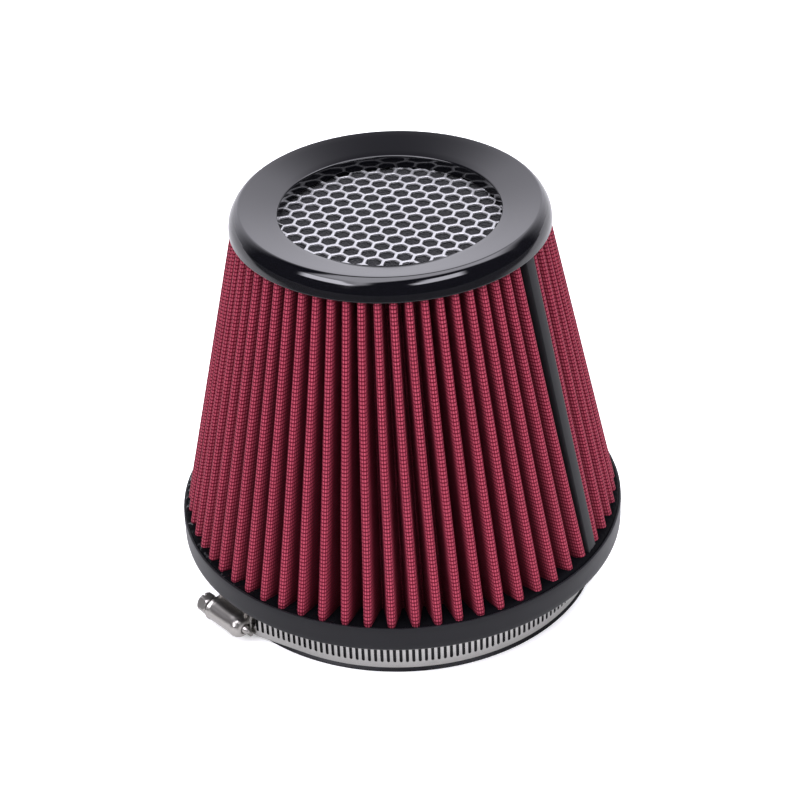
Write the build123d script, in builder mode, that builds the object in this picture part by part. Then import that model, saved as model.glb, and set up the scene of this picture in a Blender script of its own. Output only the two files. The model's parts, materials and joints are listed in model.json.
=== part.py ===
from build123d import *
import os
from math import acos, atan2, cos, degrees, hypot, radians, sin

# A cone air filter: pleated red gauze between a moulded black base with a clamped neck and a
# black ring cap, which holds a hexagon grille over a foam pad. The filter stands on its neck, with
# the axis along Z, the origin on the standing face and the cap on top. Lengths are in millimetres
# and angles in degrees, counted from +X towards +Y.

# Base: neck, lip and rim, moulded as one piece
NECK_BORE_R = 76.2
NECK_WALL = 6.7
NECK_HEIGHT = 20.8
LIP_PROUD = 1.8
LIP_HEIGHT = 1.6
RIM_R = 95.25
RIM_HEIGHT = 11.4
RIM_WALL = 0.9
TRAY_DEPTH = 2.5

# Pleated gauze: one sheet folded into a cone, with its two ends pressed together in a fin
MEDIA_HEIGHT = 136.2
MEDIA_THICKNESS = 1.6
PLEATS = 64
PLEAT_DEPTH = 13.0
TIP_WIDTH = 4.8
TIP_FLAT = 2.0
TIP_DROP = 1.2

# Seam strip: a channel pushed over the fin, in a gap between two pleats
SEAM_ANGLE = -34.5
SEAM_GAP = 10.0
STRIP_WIDTH = 6.2
STRIP_WALL = 1.0
STRIP_LEG = 4.0
STRIP_PROUD = 0.4
STRIP_CLEARANCE = 0.15
FIN_CLEARANCE = 0.4

# Cap: a moulded ring that closes the pleats and frames the opening
CAP_R = 65.25
CAP_HEIGHT = 9.6
CAP_DRAFT = 0.6
CAP_SIDE_HEIGHT = 3.1
CAP_EDGE_INSET = 1.2
CAP_EDGE_HEIGHT = 7.0
CAP_CROWN_INSET = 4.4
CAP_OVERHANG = 0.15
FUNNEL_DROP = 4.6

# Grille of hexagon cells and the foam pad behind it, two blanks that the cap laps over
BLANK_SIDES = 12
BLANK_LAP = 7.7
BLANK_CLEARANCE = 2.4
GRILLE_THICKNESS = 1.0
CELL_PITCH = 7.23
STRAND_WIDTH = 1.05
CELL_TURN = -16.9
CELL_SHIFT_X = 3.2
CELL_SHIFT_Y = 3.6
PAD_THICKNESS = 4.0

# Worm clamp: band with a lapped tail, pressed housing and hexagon screw
CLAMP_ANGLE = 221.5
BAND_WIDTH = 12.7
BAND_THICKNESS = 0.7
BAND_CLEARANCE = 0.15
BAND_BEND_R = 20.0
SADDLE_LIFT = 3.6
TAIL_LENGTH = 48.0
TAIL_CORNER_R = 4.0
HOUSING_SHIFT = -10.0
HOUSING_LENGTH = 20.0
HOUSING_WALL = 0.9
MOUTH_LENGTH = 2.2
MOUTH_PROUD = 0.5
FOOT_THICKNESS = 0.8
TAB_LENGTH = 5.0
TAB_THICKNESS = 0.5
TAB_CLEARANCE = 0.1
SEAT_CLEARANCE = 0.05
WORM_R = 3.9
WORM_CLEARANCE = 0.08
SCREW_LIFT = 0.35
SCREW_GAP = 1.4
HEAD_FLATS = 8.4
HEAD_LENGTH = 5.5
HEAD_BEVEL = 0.6
DRIVER_SLOT_WIDTH = 1.2
DRIVER_SLOT_DEPTH = 1.6
WORM_END_GAP = 0.35
TIP_R = 1.9
TIP_CLEARANCE = 0.35
TIP_REACH = 1.2
CONE_LENGTH = 1.6
CONE_END_R = 0.6

# Levels and radii of the base and the cap
neck_r = NECK_BORE_R + NECK_WALL
lip_r = neck_r + LIP_PROUD
rim_top = NECK_HEIGHT + RIM_HEIGHT
rim_inner_r = RIM_R - RIM_WALL
tray_floor = rim_top - TRAY_DEPTH
media_top = tray_floor + MEDIA_HEIGHT
cap_top = media_top + CAP_HEIGHT
cap_edge_r = CAP_R - CAP_DRAFT

# The strip clears the rim below and lies under the cap's edge above, just proud of the pleat tips
tip_low_r = rim_inner_r - STRIP_CLEARANCE - STRIP_PROUD
tip_high_r = cap_edge_r - CAP_OVERHANG - STRIP_PROUD
taper = tip_high_r / tip_low_r

# The grille lies under the cap inside the folds, with the pad against its back
blank_r = tip_high_r - PLEAT_DEPTH * taper - BLANK_CLEARANCE
opening_r = blank_r - BLANK_LAP
grille_bottom = media_top - GRILLE_THICKNESS
pad_bottom = grille_bottom - PAD_THICKNESS

# The band hugs the neck above the lip and runs straight under the housing, a little off the neck
band_inner_r = neck_r + BAND_CLEARANCE
saddle_r = band_inner_r + SADDLE_LIFT
band_bottom = LIP_HEIGHT + 2 * TAB_CLEARANCE + TAB_THICKNESS
band_middle = band_bottom + BAND_WIDTH / 2
tail_r = saddle_r + 2 * BAND_THICKNESS
seat_r = tail_r + SEAT_CLEARANCE
screw_r = tail_r + SCREW_LIFT + WORM_R
barrel_inner_r = WORM_R + WORM_CLEARANCE
barrel_r = barrel_inner_r + HOUSING_WALL
housing_back = HOUSING_SHIFT - HOUSING_LENGTH / 2
housing_front = HOUSING_SHIFT + HOUSING_LENGTH / 2

upward = Vector(0, 0, 1)
outward = Vector(cos(radians(CLAMP_ANGLE)), sin(radians(CLAMP_ANGLE)), 0)
along = upward.cross(outward)

os.makedirs("parts", exist_ok=True)


def polar(radius, angle):
    """Point on the plan at this radius and angle."""
    return (radius * cos(radians(angle)), radius * sin(radians(angle)))


def arc_angle(length, radius):
    """Angle in degrees that a length takes up around a circle."""
    return degrees(length / radius)


def clamp_plane(offset):
    """Plane across the screw: x runs up the band and y outward from the filter's axis."""
    return Plane(origin=along * offset + upward * band_middle, x_dir=upward, z_dir=along)


# Base: a turned section with the neck, its lip, and the rim standing round a shallow tray
with BuildPart() as base_flange:
    with BuildSketch(Plane.XZ):
        with BuildLine():
            Polyline(
                (NECK_BORE_R, 0),
                (lip_r, 0),
                (neck_r, LIP_HEIGHT),
                (neck_r, NECK_HEIGHT),
                (RIM_R, NECK_HEIGHT),
                (RIM_R, rim_top),
                (rim_inner_r, rim_top),
                (rim_inner_r, tray_floor),
                (NECK_BORE_R, tray_floor),
                close=True,
            )
        make_face()
    revolve(axis=Axis.Z)
base_flange.part.label = "base_flange"
export_step(base_flange.part, "parts/base_flange.step")


# Pleated gauze: the plan of the folds on the tray floor, drawn in to the cap at one taper
fold_step = (360 - SEAM_GAP) / (PLEATS - 1)
fin_tip_r = tip_low_r + STRIP_PROUD - STRIP_WALL - FIN_CLEARANCE
fin_foot_r = fin_tip_r - STRIP_LEG
fold_angles = [SEAM_ANGLE + SEAM_GAP / 2 + fold_step * pleat for pleat in range(PLEATS)]
last_valley = fold_angles[-1] + fold_step / 2


def outer_folds():
    """Plan of the sheet's outside: the fin, then a blunt tip for each pleat and a sharp valley."""
    valley_r = tip_low_r - PLEAT_DEPTH + MEDIA_THICKNESS
    shoulder_r = tip_low_r - TIP_DROP
    shoulder = arc_angle(TIP_WIDTH / 2, tip_low_r)
    flat = arc_angle(TIP_FLAT / 2, tip_low_r)
    fin_tip_turn = arc_angle(MEDIA_THICKNESS, fin_tip_r)
    fin_foot_turn = arc_angle(MEDIA_THICKNESS, fin_foot_r)
    points = [
        polar(fin_foot_r, SEAM_ANGLE - fin_foot_turn),
        polar(fin_tip_r, SEAM_ANGLE - fin_tip_turn),
        polar(fin_tip_r, SEAM_ANGLE + fin_tip_turn),
        polar(fin_foot_r, SEAM_ANGLE + fin_foot_turn),
    ]
    for angle in fold_angles:
        points.append(polar(valley_r, angle - fold_step / 2))
        points.append(polar(shoulder_r, angle - shoulder))
        points.append(polar(tip_low_r, angle - flat))
        points.append(polar(tip_low_r, angle + flat))
        points.append(polar(shoulder_r, angle + shoulder))
    points.append(polar(valley_r, last_valley))
    return points


def inner_folds():
    """Plan of the sheet's inside: a plain zigzag, cut short behind the fin."""
    inner_r = tip_low_r - PLEAT_DEPTH
    crest_r = tip_low_r - MEDIA_THICKNESS
    points = [polar(fin_foot_r - MEDIA_THICKNESS, SEAM_ANGLE)]
    for angle in fold_angles:
        points.append(polar(inner_r, angle - fold_step / 2))
        points.append(polar(crest_r, angle))
    points.append(polar(inner_r, last_valley))
    return points


def lifted(points, level, scale):
    """The plan, drawn in by the scale and set at a level."""
    return [Vector(x * scale, y * scale, level) for x, y in points]


def fold_walls(points):
    """Flat walls that rise from the plan on the tray floor to the smaller plan in the cap."""
    low = lifted(points, tray_floor, 1)
    high = lifted(points, media_top, taper)
    corners = zip(low, low[1:] + low[:1], high[1:] + high[:1], high)
    return [Face(Wire.make_polygon(wall)) for wall in corners]


def fold_end(level, scale):
    """The cut edge of the folded sheet on one level."""
    outside = Wire.make_polygon(lifted(outer_folds(), level, scale))
    inside = Wire.make_polygon(lifted(inner_folds(), level, scale))
    return Face(outside, [inside])


media_faces = [
    *fold_walls(outer_folds()),
    *fold_walls(inner_folds()),
    fold_end(tray_floor, 1),
    fold_end(media_top, taper),
]
with BuildPart() as pleated_media:
    add(Solid(Shell(media_faces)))
pleated_media.part.label = "pleated_media"
export_step(pleated_media.part, "parts/pleated_media.step")


# Seam strip: a channel section that leans with the pleats from the tray to the cap
strip_plane = Plane(origin=(0, 0, 0), x_dir=(*polar(1, SEAM_ANGLE), 0), z_dir=(0, 0, 1))
with BuildPart() as seam_strip:
    for level, tip_r in ((tray_floor, tip_low_r), (media_top, tip_high_r)):
        face_r = tip_r + STRIP_PROUD
        with BuildSketch(strip_plane.offset(level)):
            with Locations((face_r, 0)):
                Rectangle(STRIP_LEG, STRIP_WIDTH, align=(Align.MAX, Align.CENTER))
            with Locations((face_r - STRIP_WALL, 0)):
                Rectangle(
                    STRIP_LEG,
                    STRIP_WIDTH - 2 * STRIP_WALL,
                    align=(Align.MAX, Align.CENTER),
                    mode=Mode.SUBTRACT,
                )
    loft(ruled=True)
seam_strip.part.label = "seam_strip"
export_step(seam_strip.part, "parts/seam_strip.step")


# Cap: a turned ring, blunt over the shoulder, with a shallow funnel down to the opening
with BuildPart() as top_cap:
    with BuildSketch(Plane.XZ):
        with BuildLine():
            Polyline(
                (cap_edge_r, media_top),
                (CAP_R, media_top + CAP_SIDE_HEIGHT),
                (CAP_R - CAP_EDGE_INSET, media_top + CAP_EDGE_HEIGHT),
                (CAP_R - CAP_CROWN_INSET, cap_top),
                (opening_r, cap_top - FUNNEL_DROP),
                (opening_r, media_top),
                close=True,
            )
        make_face()
    revolve(axis=Axis.Z)
top_cap.part.label = "top_cap"
export_step(top_cap.part, "parts/top_cap.step")


# Grille: a flat twelve-sided blank with every hexagon cell that shows whole in the opening
cell_r = (CELL_PITCH - STRAND_WIDTH) / 2
cell_corner_r = cell_r / cos(radians(30))
cell_rows = round(opening_r / CELL_PITCH) + 2
across = Vector(CELL_PITCH, 0, 0).rotate(Axis.Z, CELL_TURN)
slant = Vector(CELL_PITCH, 0, 0).rotate(Axis.Z, CELL_TURN + 60)
middle = Vector(CELL_SHIFT_X, CELL_SHIFT_Y, 0)
cells = [
    middle + across * column + slant * row
    for column in range(-cell_rows, cell_rows + 1)
    for row in range(-cell_rows, cell_rows + 1)
]
cells = [cell for cell in cells if cell.length + cell_corner_r < opening_r]

with BuildPart() as top_grille:
    with BuildSketch(Plane.XY.offset(grille_bottom)):
        RegularPolygon(blank_r, side_count=BLANK_SIDES)
        with Locations(*cells):
            RegularPolygon(
                cell_r,
                side_count=6,
                major_radius=False,
                rotation=CELL_TURN + 30,
                mode=Mode.SUBTRACT,
            )
    extrude(amount=GRILLE_THICKNESS)
top_grille.part.label = "top_grille"
export_step(top_grille.part, "parts/top_grille.step")


# Foam pad: the same blank, cut from thick foam and laid against the back of the grille
with BuildPart() as grille_pad:
    with BuildSketch(Plane.XY.offset(pad_bottom)):
        RegularPolygon(blank_r, side_count=BLANK_SIDES)
    extrude(amount=PAD_THICKNESS)
grille_pad.part.label = "grille_pad"
export_step(grille_pad.part, "parts/grille_pad.step")


# Plan inside the band: an arc round the neck, closed by a straight saddle under the housing
saddle_front = along * housing_front + outward * saddle_r
saddle_back = along * housing_back + outward * saddle_r


def touch_angle(point, side):
    """Angle at which a straight line from the point touches the neck's circle, on one side."""
    reach = hypot(point.X, point.Y)
    return degrees(atan2(point.Y, point.X)) + side * degrees(acos(band_inner_r / reach))


arc_start = touch_angle(saddle_front, 1)
arc_end = touch_angle(saddle_back, -1)
with BuildSketch() as band_plan:
    with BuildLine():
        neck_arc = CenterArc((0, 0), band_inner_r, arc_start, arc_end - arc_start + 360)
        Polyline(neck_arc @ 1, saddle_back, saddle_front, neck_arc @ 0)
    make_face()
    bends = band_plan.vertices().sort_by_distance(saddle_back)[0:1]
    bends += band_plan.vertices().sort_by_distance(saddle_front)[0:1]
    fillet(bends, BAND_BEND_R)

# Clamp band: the closed band, with a lapped tail that runs back under the housing
tail_start = CLAMP_ANGLE + arc_angle(housing_front - MOUTH_LENGTH, tail_r)
tail_end = tail_start - arc_angle(TAIL_LENGTH, tail_r)

with BuildPart() as clamp_band:
    with BuildSketch(Plane.XY.offset(band_bottom)):
        offset(band_plan.sketch, amount=BAND_THICKNESS)
        add(band_plan.sketch, mode=Mode.SUBTRACT)
    extrude(amount=BAND_WIDTH)
    with BuildSketch(Plane.XY.offset(band_bottom)):
        offset(band_plan.sketch, amount=2 * BAND_THICKNESS)
        offset(band_plan.sketch, amount=BAND_THICKNESS, mode=Mode.SUBTRACT)
        Polygon(
            (0, 0),
            polar(2 * RIM_R, tail_end),
            polar(2 * RIM_R, tail_start),
            align=None,
            mode=Mode.INTERSECT,
        )
    extrude(amount=BAND_WIDTH)
    tail_tip = (*polar(tail_r, tail_end), band_middle)
    corners = clamp_band.edges().filter_by(lambda edge: edge.length < 2 * BAND_THICKNESS)
    fillet(corners.sort_by_distance(tail_tip)[0:2], TAIL_CORNER_R)
clamp_band.part.label = "clamp_band"
export_step(clamp_band.part, "parts/clamp_band.step")


# Clamp housing: a pressed barrel on two flat feet, with tabs folded past the band's edges
foot_half = BAND_WIDTH / 2 + TAB_CLEARANCE + TAB_THICKNESS
foot_top = seat_r + FOOT_THICKNESS


def barrel_section(radius):
    """Section of the barrel, with straight sides down to the band."""
    with Locations((0, screw_r)):
        Circle(radius)
        Rectangle(2 * radius, screw_r - seat_r, align=(Align.CENTER, Align.MAX))


with BuildPart() as clamp_housing:
    with BuildSketch(clamp_plane(housing_back)):
        barrel_section(barrel_r)
        with Locations((0, foot_top)):
            Rectangle(2 * foot_half, FOOT_THICKNESS, align=(Align.CENTER, Align.MAX))
        with Locations((0, screw_r)):
            Circle(barrel_inner_r, mode=Mode.SUBTRACT)
            Rectangle(
                2 * barrel_inner_r,
                2 * barrel_inner_r,
                align=(Align.CENTER, Align.MAX),
                mode=Mode.SUBTRACT,
            )
    extrude(amount=HOUSING_LENGTH)
    with BuildSketch(clamp_plane(housing_front - MOUTH_LENGTH)):
        barrel_section(barrel_r + MOUTH_PROUD)
        with Locations((0, screw_r)):
            Circle(TIP_R + TIP_CLEARANCE, mode=Mode.SUBTRACT)
    extrude(amount=MOUTH_LENGTH)
    with BuildSketch(clamp_plane(housing_back)):
        with Locations((0, seat_r)):
            Rectangle(2 * foot_half, 2 * barrel_r, align=(Align.CENTER, Align.MAX))
    extrude(amount=HOUSING_LENGTH, mode=Mode.SUBTRACT)
    for tab_start in (housing_back, housing_front - TAB_LENGTH):
        with BuildSketch(clamp_plane(tab_start)):
            for side in (-1, 1):
                with Locations((side * (foot_half - TAB_THICKNESS / 2), foot_top)):
                    Rectangle(
                        TAB_THICKNESS,
                        foot_top - saddle_r,
                        align=(Align.CENTER, Align.MAX),
                    )
        extrude(amount=TAB_LENGTH)
clamp_housing.part.label = "clamp_housing"
export_step(clamp_housing.part, "parts/clamp_housing.step")


# Clamp screw: hexagon head with a driver slot, plain worm, and a tip that shows at the mouth
head_end = housing_back - SCREW_GAP
worm_end = housing_front - MOUTH_LENGTH - WORM_END_GAP
tip_end = housing_front + TIP_REACH
screw_axis = Axis(outward * screw_r + upward * band_middle, along)

with BuildPart() as clamp_screw:
    with BuildSketch(Plane(origin=screw_axis.position, x_dir=along, z_dir=upward)):
        with BuildLine():
            Polyline(
                (head_end, 0),
                (head_end, WORM_R),
                (worm_end, WORM_R),
                (worm_end, TIP_R),
                (tip_end, TIP_R),
                (tip_end + CONE_LENGTH, CONE_END_R),
                (tip_end + CONE_LENGTH, 0),
                close=True,
            )
        make_face()
    revolve(axis=screw_axis)
    with BuildSketch(clamp_plane(head_end)):
        with Locations((0, screw_r)):
            RegularPolygon(HEAD_FLATS / 2, side_count=6, major_radius=False)
    extrude(amount=-HEAD_LENGTH)
    head_face = clamp_screw.faces().sort_by(Axis((0, 0, 0), along))[0]
    chamfer(head_face.edges(), HEAD_BEVEL)
    with BuildSketch(clamp_plane(head_end - HEAD_LENGTH)):
        with Locations((0, screw_r)):
            Rectangle(2 * HEAD_FLATS, DRIVER_SLOT_WIDTH)
    extrude(amount=DRIVER_SLOT_DEPTH, mode=Mode.SUBTRACT)
clamp_screw.part.label = "clamp_screw"
export_step(clamp_screw.part, "parts/clamp_screw.step")
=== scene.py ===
"""Looks of a cone air filter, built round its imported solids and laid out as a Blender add-on."""

import json
from collections import namedtuple
from math import acos, atan2, ceil, cos, exp, floor, hypot, pi, radians, sin, sqrt, tan

import bmesh
import bpy
from bpy.props import FloatProperty, FloatVectorProperty, IntProperty, PointerProperty
from mathutils import Matrix, Vector, noise


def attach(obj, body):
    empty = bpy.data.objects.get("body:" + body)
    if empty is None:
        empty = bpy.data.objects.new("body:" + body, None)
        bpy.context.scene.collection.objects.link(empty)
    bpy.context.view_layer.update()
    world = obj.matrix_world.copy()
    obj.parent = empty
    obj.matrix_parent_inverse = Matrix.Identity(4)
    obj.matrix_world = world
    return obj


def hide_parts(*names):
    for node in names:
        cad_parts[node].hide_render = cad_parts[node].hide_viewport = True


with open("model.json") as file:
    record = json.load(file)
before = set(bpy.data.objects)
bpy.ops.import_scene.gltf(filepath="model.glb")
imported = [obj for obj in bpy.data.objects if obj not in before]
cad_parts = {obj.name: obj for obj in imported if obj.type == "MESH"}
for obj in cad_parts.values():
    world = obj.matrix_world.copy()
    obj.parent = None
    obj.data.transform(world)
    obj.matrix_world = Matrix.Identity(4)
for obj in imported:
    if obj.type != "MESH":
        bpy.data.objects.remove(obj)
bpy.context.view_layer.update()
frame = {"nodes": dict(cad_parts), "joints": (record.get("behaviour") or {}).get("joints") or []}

bl_info = {
    "name": "Cone Air Filter Looks",
    "version": (1, 0, 0),
    "blender": (4, 5, 0),
    "location": "View3D > Sidebar > Air Filter",
    "description": "Dresses the solids of a cone air filter: gauze, base, cap, grille, strip and clamp",
    "category": "Object",
}

MM = 0.001
WELD_GAP = 0.0005 * MM
FILTER_BODY = "filter"
SCREW_BODY = "screw"


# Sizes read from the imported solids


def corners_of(node):
    """Corners of a solid, in metres."""
    return [corner.co for corner in frame["nodes"][node].data.vertices]


def levels(node):
    """Heights of a solid's corners, from the lowest to the highest."""
    return sorted({round(corner.z, 5) for corner in corners_of(node)})


def reach(node, level):
    """Nearest and furthest distance from the axis of a solid's corners on one level."""
    radii = [corner.xy.length for corner in corners_of(node) if abs(corner.z - level) < 0.01 * MM]
    return min(radii), max(radii)


def spread(node, direction):
    """How far a solid runs along a direction, from its first corner to its last."""
    places = [corner.dot(direction) for corner in corners_of(node)]
    return min(places), max(places)


GROUND, LIP_TOP, SHOULDER, TRAY_FLOOR, RIM_TOP = levels("base_flange")
BORE_R, LIP_R = reach("base_flange", GROUND)
NECK_R = reach("base_flange", LIP_TOP)[1]
RIM_INNER_R, RIM_R = reach("base_flange", RIM_TOP)

MEDIA_LOW, MEDIA_HIGH = levels("pleated_media")
TIP_LOW_R = reach("pleated_media", MEDIA_LOW)[1]
TIP_HIGH_R = reach("pleated_media", MEDIA_HIGH)[1]
MEDIA_TAPER = TIP_HIGH_R / TIP_LOW_R

CAP_LEVELS = levels("top_cap")
CAP_BOTTOM, CAP_SIDE, FUNNEL_END = CAP_LEVELS[:3]
CAP_TOP = CAP_LEVELS[-1]
OPENING_R, CAP_FOOT_R = reach("top_cap", CAP_BOTTOM)
CAP_R = reach("top_cap", CAP_SIDE)[1]
CAP_CROWN_R = reach("top_cap", CAP_TOP)[1]

GRILLE_BOTTOM, GRILLE_TOP = levels("top_grille")
PAD_BOTTOM, PAD_TOP = levels("grille_pad")
BLANK_R = reach("grille_pad", PAD_TOP)[1]
BLANK_SIDES = 12
BLANK_APOTHEM = BLANK_R * cos(pi / BLANK_SIDES)

UP = Vector((0, 0, 1))
SCREW_JOINT = frame["joints"][0]
SCREW_POINT = Vector(SCREW_JOINT["pos_m"])
ALONG = Vector(SCREW_JOINT["axis"]).normalized()
OUTWARD = SCREW_POINT.to_2d().to_3d().normalized()
SCREW_R = SCREW_POINT.to_2d().length
BAND_LOW, BAND_HIGH = levels("clamp_band")[0], levels("clamp_band")[-1]
BAND_INNER_R = min(corner.xy.length for corner in corners_of("clamp_band"))
HOUSING_BACK, HOUSING_FRONT = spread("clamp_housing", ALONG)
HOUSING_SEAT = spread("clamp_housing", OUTWARD)[0]
SCREW_BACK, SCREW_FRONT = spread("clamp_screw", ALONG)

STRIP_MIDDLE = sum((corner.to_2d().normalized() for corner in corners_of("seam_strip")), Vector((0, 0)))
SEAM_ANGLE = atan2(STRIP_MIDDLE.y, STRIP_MIDDLE.x)
STRIP_LOW_R = spread("seam_strip", Vector((cos(SEAM_ANGLE), sin(SEAM_ANGLE), 0)))[1]
STRIP_PROUD = STRIP_LOW_R - TIP_LOW_R


# Settings that a user would change


def length(label, words, default):
    """A size in metres."""
    return FloatProperty(name=label, description=words, default=default, unit="LENGTH", precision=5)


def angle(label, words, default):
    """An angle, given in degrees and kept in radians."""
    return FloatProperty(name=label, description=words, default=radians(default), unit="ROTATION")


def colour(label, words, default):
    """A colour in linear light."""
    return FloatVectorProperty(name=label, description=words, default=default, subtype="COLOR", min=0, max=1)


class BaseSettings(bpy.types.PropertyGroup):
    """Sizes and colour of the moulded base."""

    sides: IntProperty(name="Sides", description="Steps round the moulded rings", default=288)
    edge_round: length("Edge round", "Rounding of the rim's lower edge", 1.2 * MM)
    lip_round: length("Lip round", "Rounding of the small edges of the lip and the rim", 0.4 * MM)
    rim_unevenness: length("Rim unevenness", "How far the rim's top edge wanders", 0.14 * MM)
    potting_rise: length("Potting rise", "How far the poured rubber climbs past the rim at the back", 2.4 * MM)
    potting_dip: length("Potting dip", "How far the poured rubber lies below the rim at the front", 1.2 * MM)
    potting_unevenness: length("Potting unevenness", "How far the poured face rises and falls", 0.4 * MM)
    tint: colour("Rubber", "Colour of the moulded rubber", (0.006, 0.006, 0.0075))
    potting: colour("Potting", "Colour of the poured rubber", (0.002, 0.002, 0.0026))


class MediaSettings(bpy.types.PropertyGroup):
    """Sizes and colours of the pleated gauze and the strip on its seam."""

    pleats: IntProperty(name="Pleats", description="Number of pleats", default=64)
    seam_gap: angle("Seam gap", "Angle between the two pleats beside the seam", 10.0)
    depth: length("Pleat depth", "Depth of a pleat at its foot", 13.0 * MM)
    tip_round: length("Tip round", "Rounding of a pleat's tip at its foot", 1.5 * MM)
    tip_flat: length("Tip flat", "Half the flat run on a pleat's tip", 0.3 * MM)
    valley_round: length("Valley round", "Radius of a valley at the feet", 0.6 * MM)
    toe_in: length("Toe in", "How far the feet of the pleats draw in", 0.5 * MM)
    toe_height: length("Toe height", "Height over which the feet draw in", 1.6 * MM)
    thickness: length("Sheet thickness", "Gauze with both its screens", 1.2 * MM)
    rows: IntProperty(name="Rows", description="Steps up a pleat", default=30)
    strip_lean: angle("Strip lean", "How far the seam strip leans from foot to cap", -0.9)
    unevenness: angle("Unevenness", "How far a pleat wanders from its place", 0.2)
    screen_pitch: length("Screen pitch", "Spacing of the upright wires in the screen", 1.08 * MM)
    screen_rise: length("Screen rise", "Spacing of the level wires in the screen", 1.632 * MM)
    strip_width: length("Strip width", "Width of the seam strip", 6.2 * MM)
    strip_leg: length("Strip leg", "Depth of the seam strip", 4.0 * MM)
    strip_wall: length("Strip wall", "Wall of the seam strip", 1.0 * MM)
    strip_round: length("Strip round", "Rounding of the strip's outer edges", 0.55 * MM)
    gauze: colour("Gauze", "Colour of the oiled gauze", (0.255, 0.027, 0.050))
    # Painted shade: the darker red the gauze is given next to the wires, round the edge of each cell
    hollow_shade: colour("Hollow", "Colour of the gauze beside a wire", (0.125, 0.006, 0.016))
    # Painted highlight: the lighter colour laid on the raised middle of each cell, flecked by the yarn noise
    thread: colour("Thread", "Colour of the gauze's raised threads", (0.42, 0.105, 0.145))
    # Painted shade: the near-black red the gauze is darkened to down in the folds
    fold: colour("Fold", "Colour of the gauze down in a fold", (0.04, 0.003, 0.006))
    wire: colour("Wire", "Colour of the coated screen wire", (0.06, 0.003, 0.010))
    strip: colour("Strip", "Colour of the seam strip", (0.010, 0.010, 0.011))


class CapSettings(bpy.types.PropertyGroup):
    """Sizes and colours of the ring cap, the grille in it and the foam behind."""

    side_round: length("Side round", "Rounding of the cap's side", 8.0 * MM)
    crown_round: length("Crown round", "Rounding of the cap's crown", 1.1 * MM)
    opening_round: length("Opening round", "Rounding of the opening's edge", 0.9 * MM)
    cell_pitch: length("Cell pitch", "Spacing of the grille's cells", 7.23 * MM)
    strand: length("Strand", "Width of the grille's strands", 1.2 * MM)
    cell_turn: angle("Cell turn", "Turn of the rows of cells", -16.9)
    cell_shift: FloatVectorProperty(
        name="Cell shift", description="Place of the middle cell", default=(3.2 * MM, 3.6 * MM), size=2, unit="LENGTH"
    )
    tint: colour("Cap", "Colour of the glossy cap", (0.002, 0.002, 0.003))
    metal: colour("Grille", "Colour of the grille's metal", (0.43, 0.43, 0.442))
    foam: colour("Foam", "Colour of the foam pad", (0.010, 0.010, 0.012))


class ClampSettings(bpy.types.PropertyGroup):
    """Sizes and colours of the worm clamp."""

    band_thickness: length("Band thickness", "Thickness of the steel band", 0.7 * MM)
    bend_round: length("Bend round", "Bend of the band beside the housing", 20.0 * MM)
    slot_pitch: length("Slot pitch", "Spacing of the band's slots", 2.6 * MM)
    slot_width: length("Slot width", "Width of a slot", 1.28 * MM)
    slot_length: length("Slot length", "Length of a slot", 7.1 * MM)
    slotted_turn: angle("Slotted stretch", "How far round the slots run from the housing", 165.0)
    tail: length("Tail", "Length of the lapped tail", 48.0 * MM)
    worm_r: length("Worm radius", "Outside of the screw's worm", 3.9 * MM)
    barrel_r: length("Barrel radius", "Outside of the housing's barrel", 4.88 * MM)
    barrel_wall: length("Barrel wall", "Wall of the housing", 0.8 * MM)
    thread_pitch: length("Thread pitch", "Pitch of the worm", 2.6 * MM)
    thread_depth: length("Thread depth", "Depth of the worm", 0.8 * MM)
    head_flats: length("Head flats", "Width of the hexagon across its flats", 8.4 * MM)
    head_length: length("Head length", "Length of the hexagon head", 5.5 * MM)
    steel: colour("Band steel", "Colour of the rolled band", (0.50, 0.49, 0.475))
    fittings: colour("Fittings", "Colour of the pressed housing and the screw", (0.40, 0.383, 0.36))


class StageSettings(bpy.types.PropertyGroup):
    """Camera, lights and floor."""

    camera_place: FloatVectorProperty(
        name="Camera place", description="Where the camera stands", default=(-0.01251, -0.76178, 0.58873), unit="LENGTH"
    )
    camera_pitch: angle("Camera pitch", "How far the camera looks down", 33.794)
    camera_yaw: angle("Camera yaw", "How far the camera looks to the right", 1.002)
    camera_roll: angle("Camera roll", "How far the camera is rolled", -2.471)
    lens: FloatProperty(name="Lens", description="Focal length in millimetres", default=97.18)
    floor_tint: colour("Floor", "Colour of the floor", (0.93, 0.93, 0.93))


# Mesh building


def make_piece(name, corners, faces, finish, nodes=(), body=FILTER_BODY, sharp=40.0):
    """A mesh that rides on a body and stands for the named nodes, which it hides."""
    mesh = bpy.data.meshes.new(name)
    mesh.from_pydata([tuple(corner) for corner in corners], [], faces)
    mesh.materials.append(finish)
    outside = bmesh.new()
    outside.from_mesh(mesh)
    bmesh.ops.remove_doubles(outside, verts=outside.verts, dist=WELD_GAP)
    bmesh.ops.recalc_face_normals(outside, faces=outside.faces)
    outside.to_mesh(mesh)
    outside.free()
    mesh.shade_smooth()
    mesh.set_sharp_from_angle(angle=radians(sharp))
    piece = bpy.data.objects.new(name, mesh)
    bpy.context.scene.collection.objects.link(piece)
    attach(piece, body)
    if nodes:
        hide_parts(*nodes)
    return piece


def thicken(piece, thickness, sharp=40.0):
    """Gives a sheet its thickness on the inner side and keeps the new edges crisp."""
    sheet = piece.modifiers.new("sheet", "SOLIDIFY")
    sheet.thickness = thickness
    sheet.offset = -1.0
    bpy.context.view_layer.update()
    solid = bpy.data.meshes.new_from_object(piece.evaluated_get(bpy.context.evaluated_depsgraph_get()))
    piece.modifiers.clear()
    piece.data = solid
    solid.shade_smooth()
    solid.set_sharp_from_angle(angle=radians(sharp))


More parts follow.
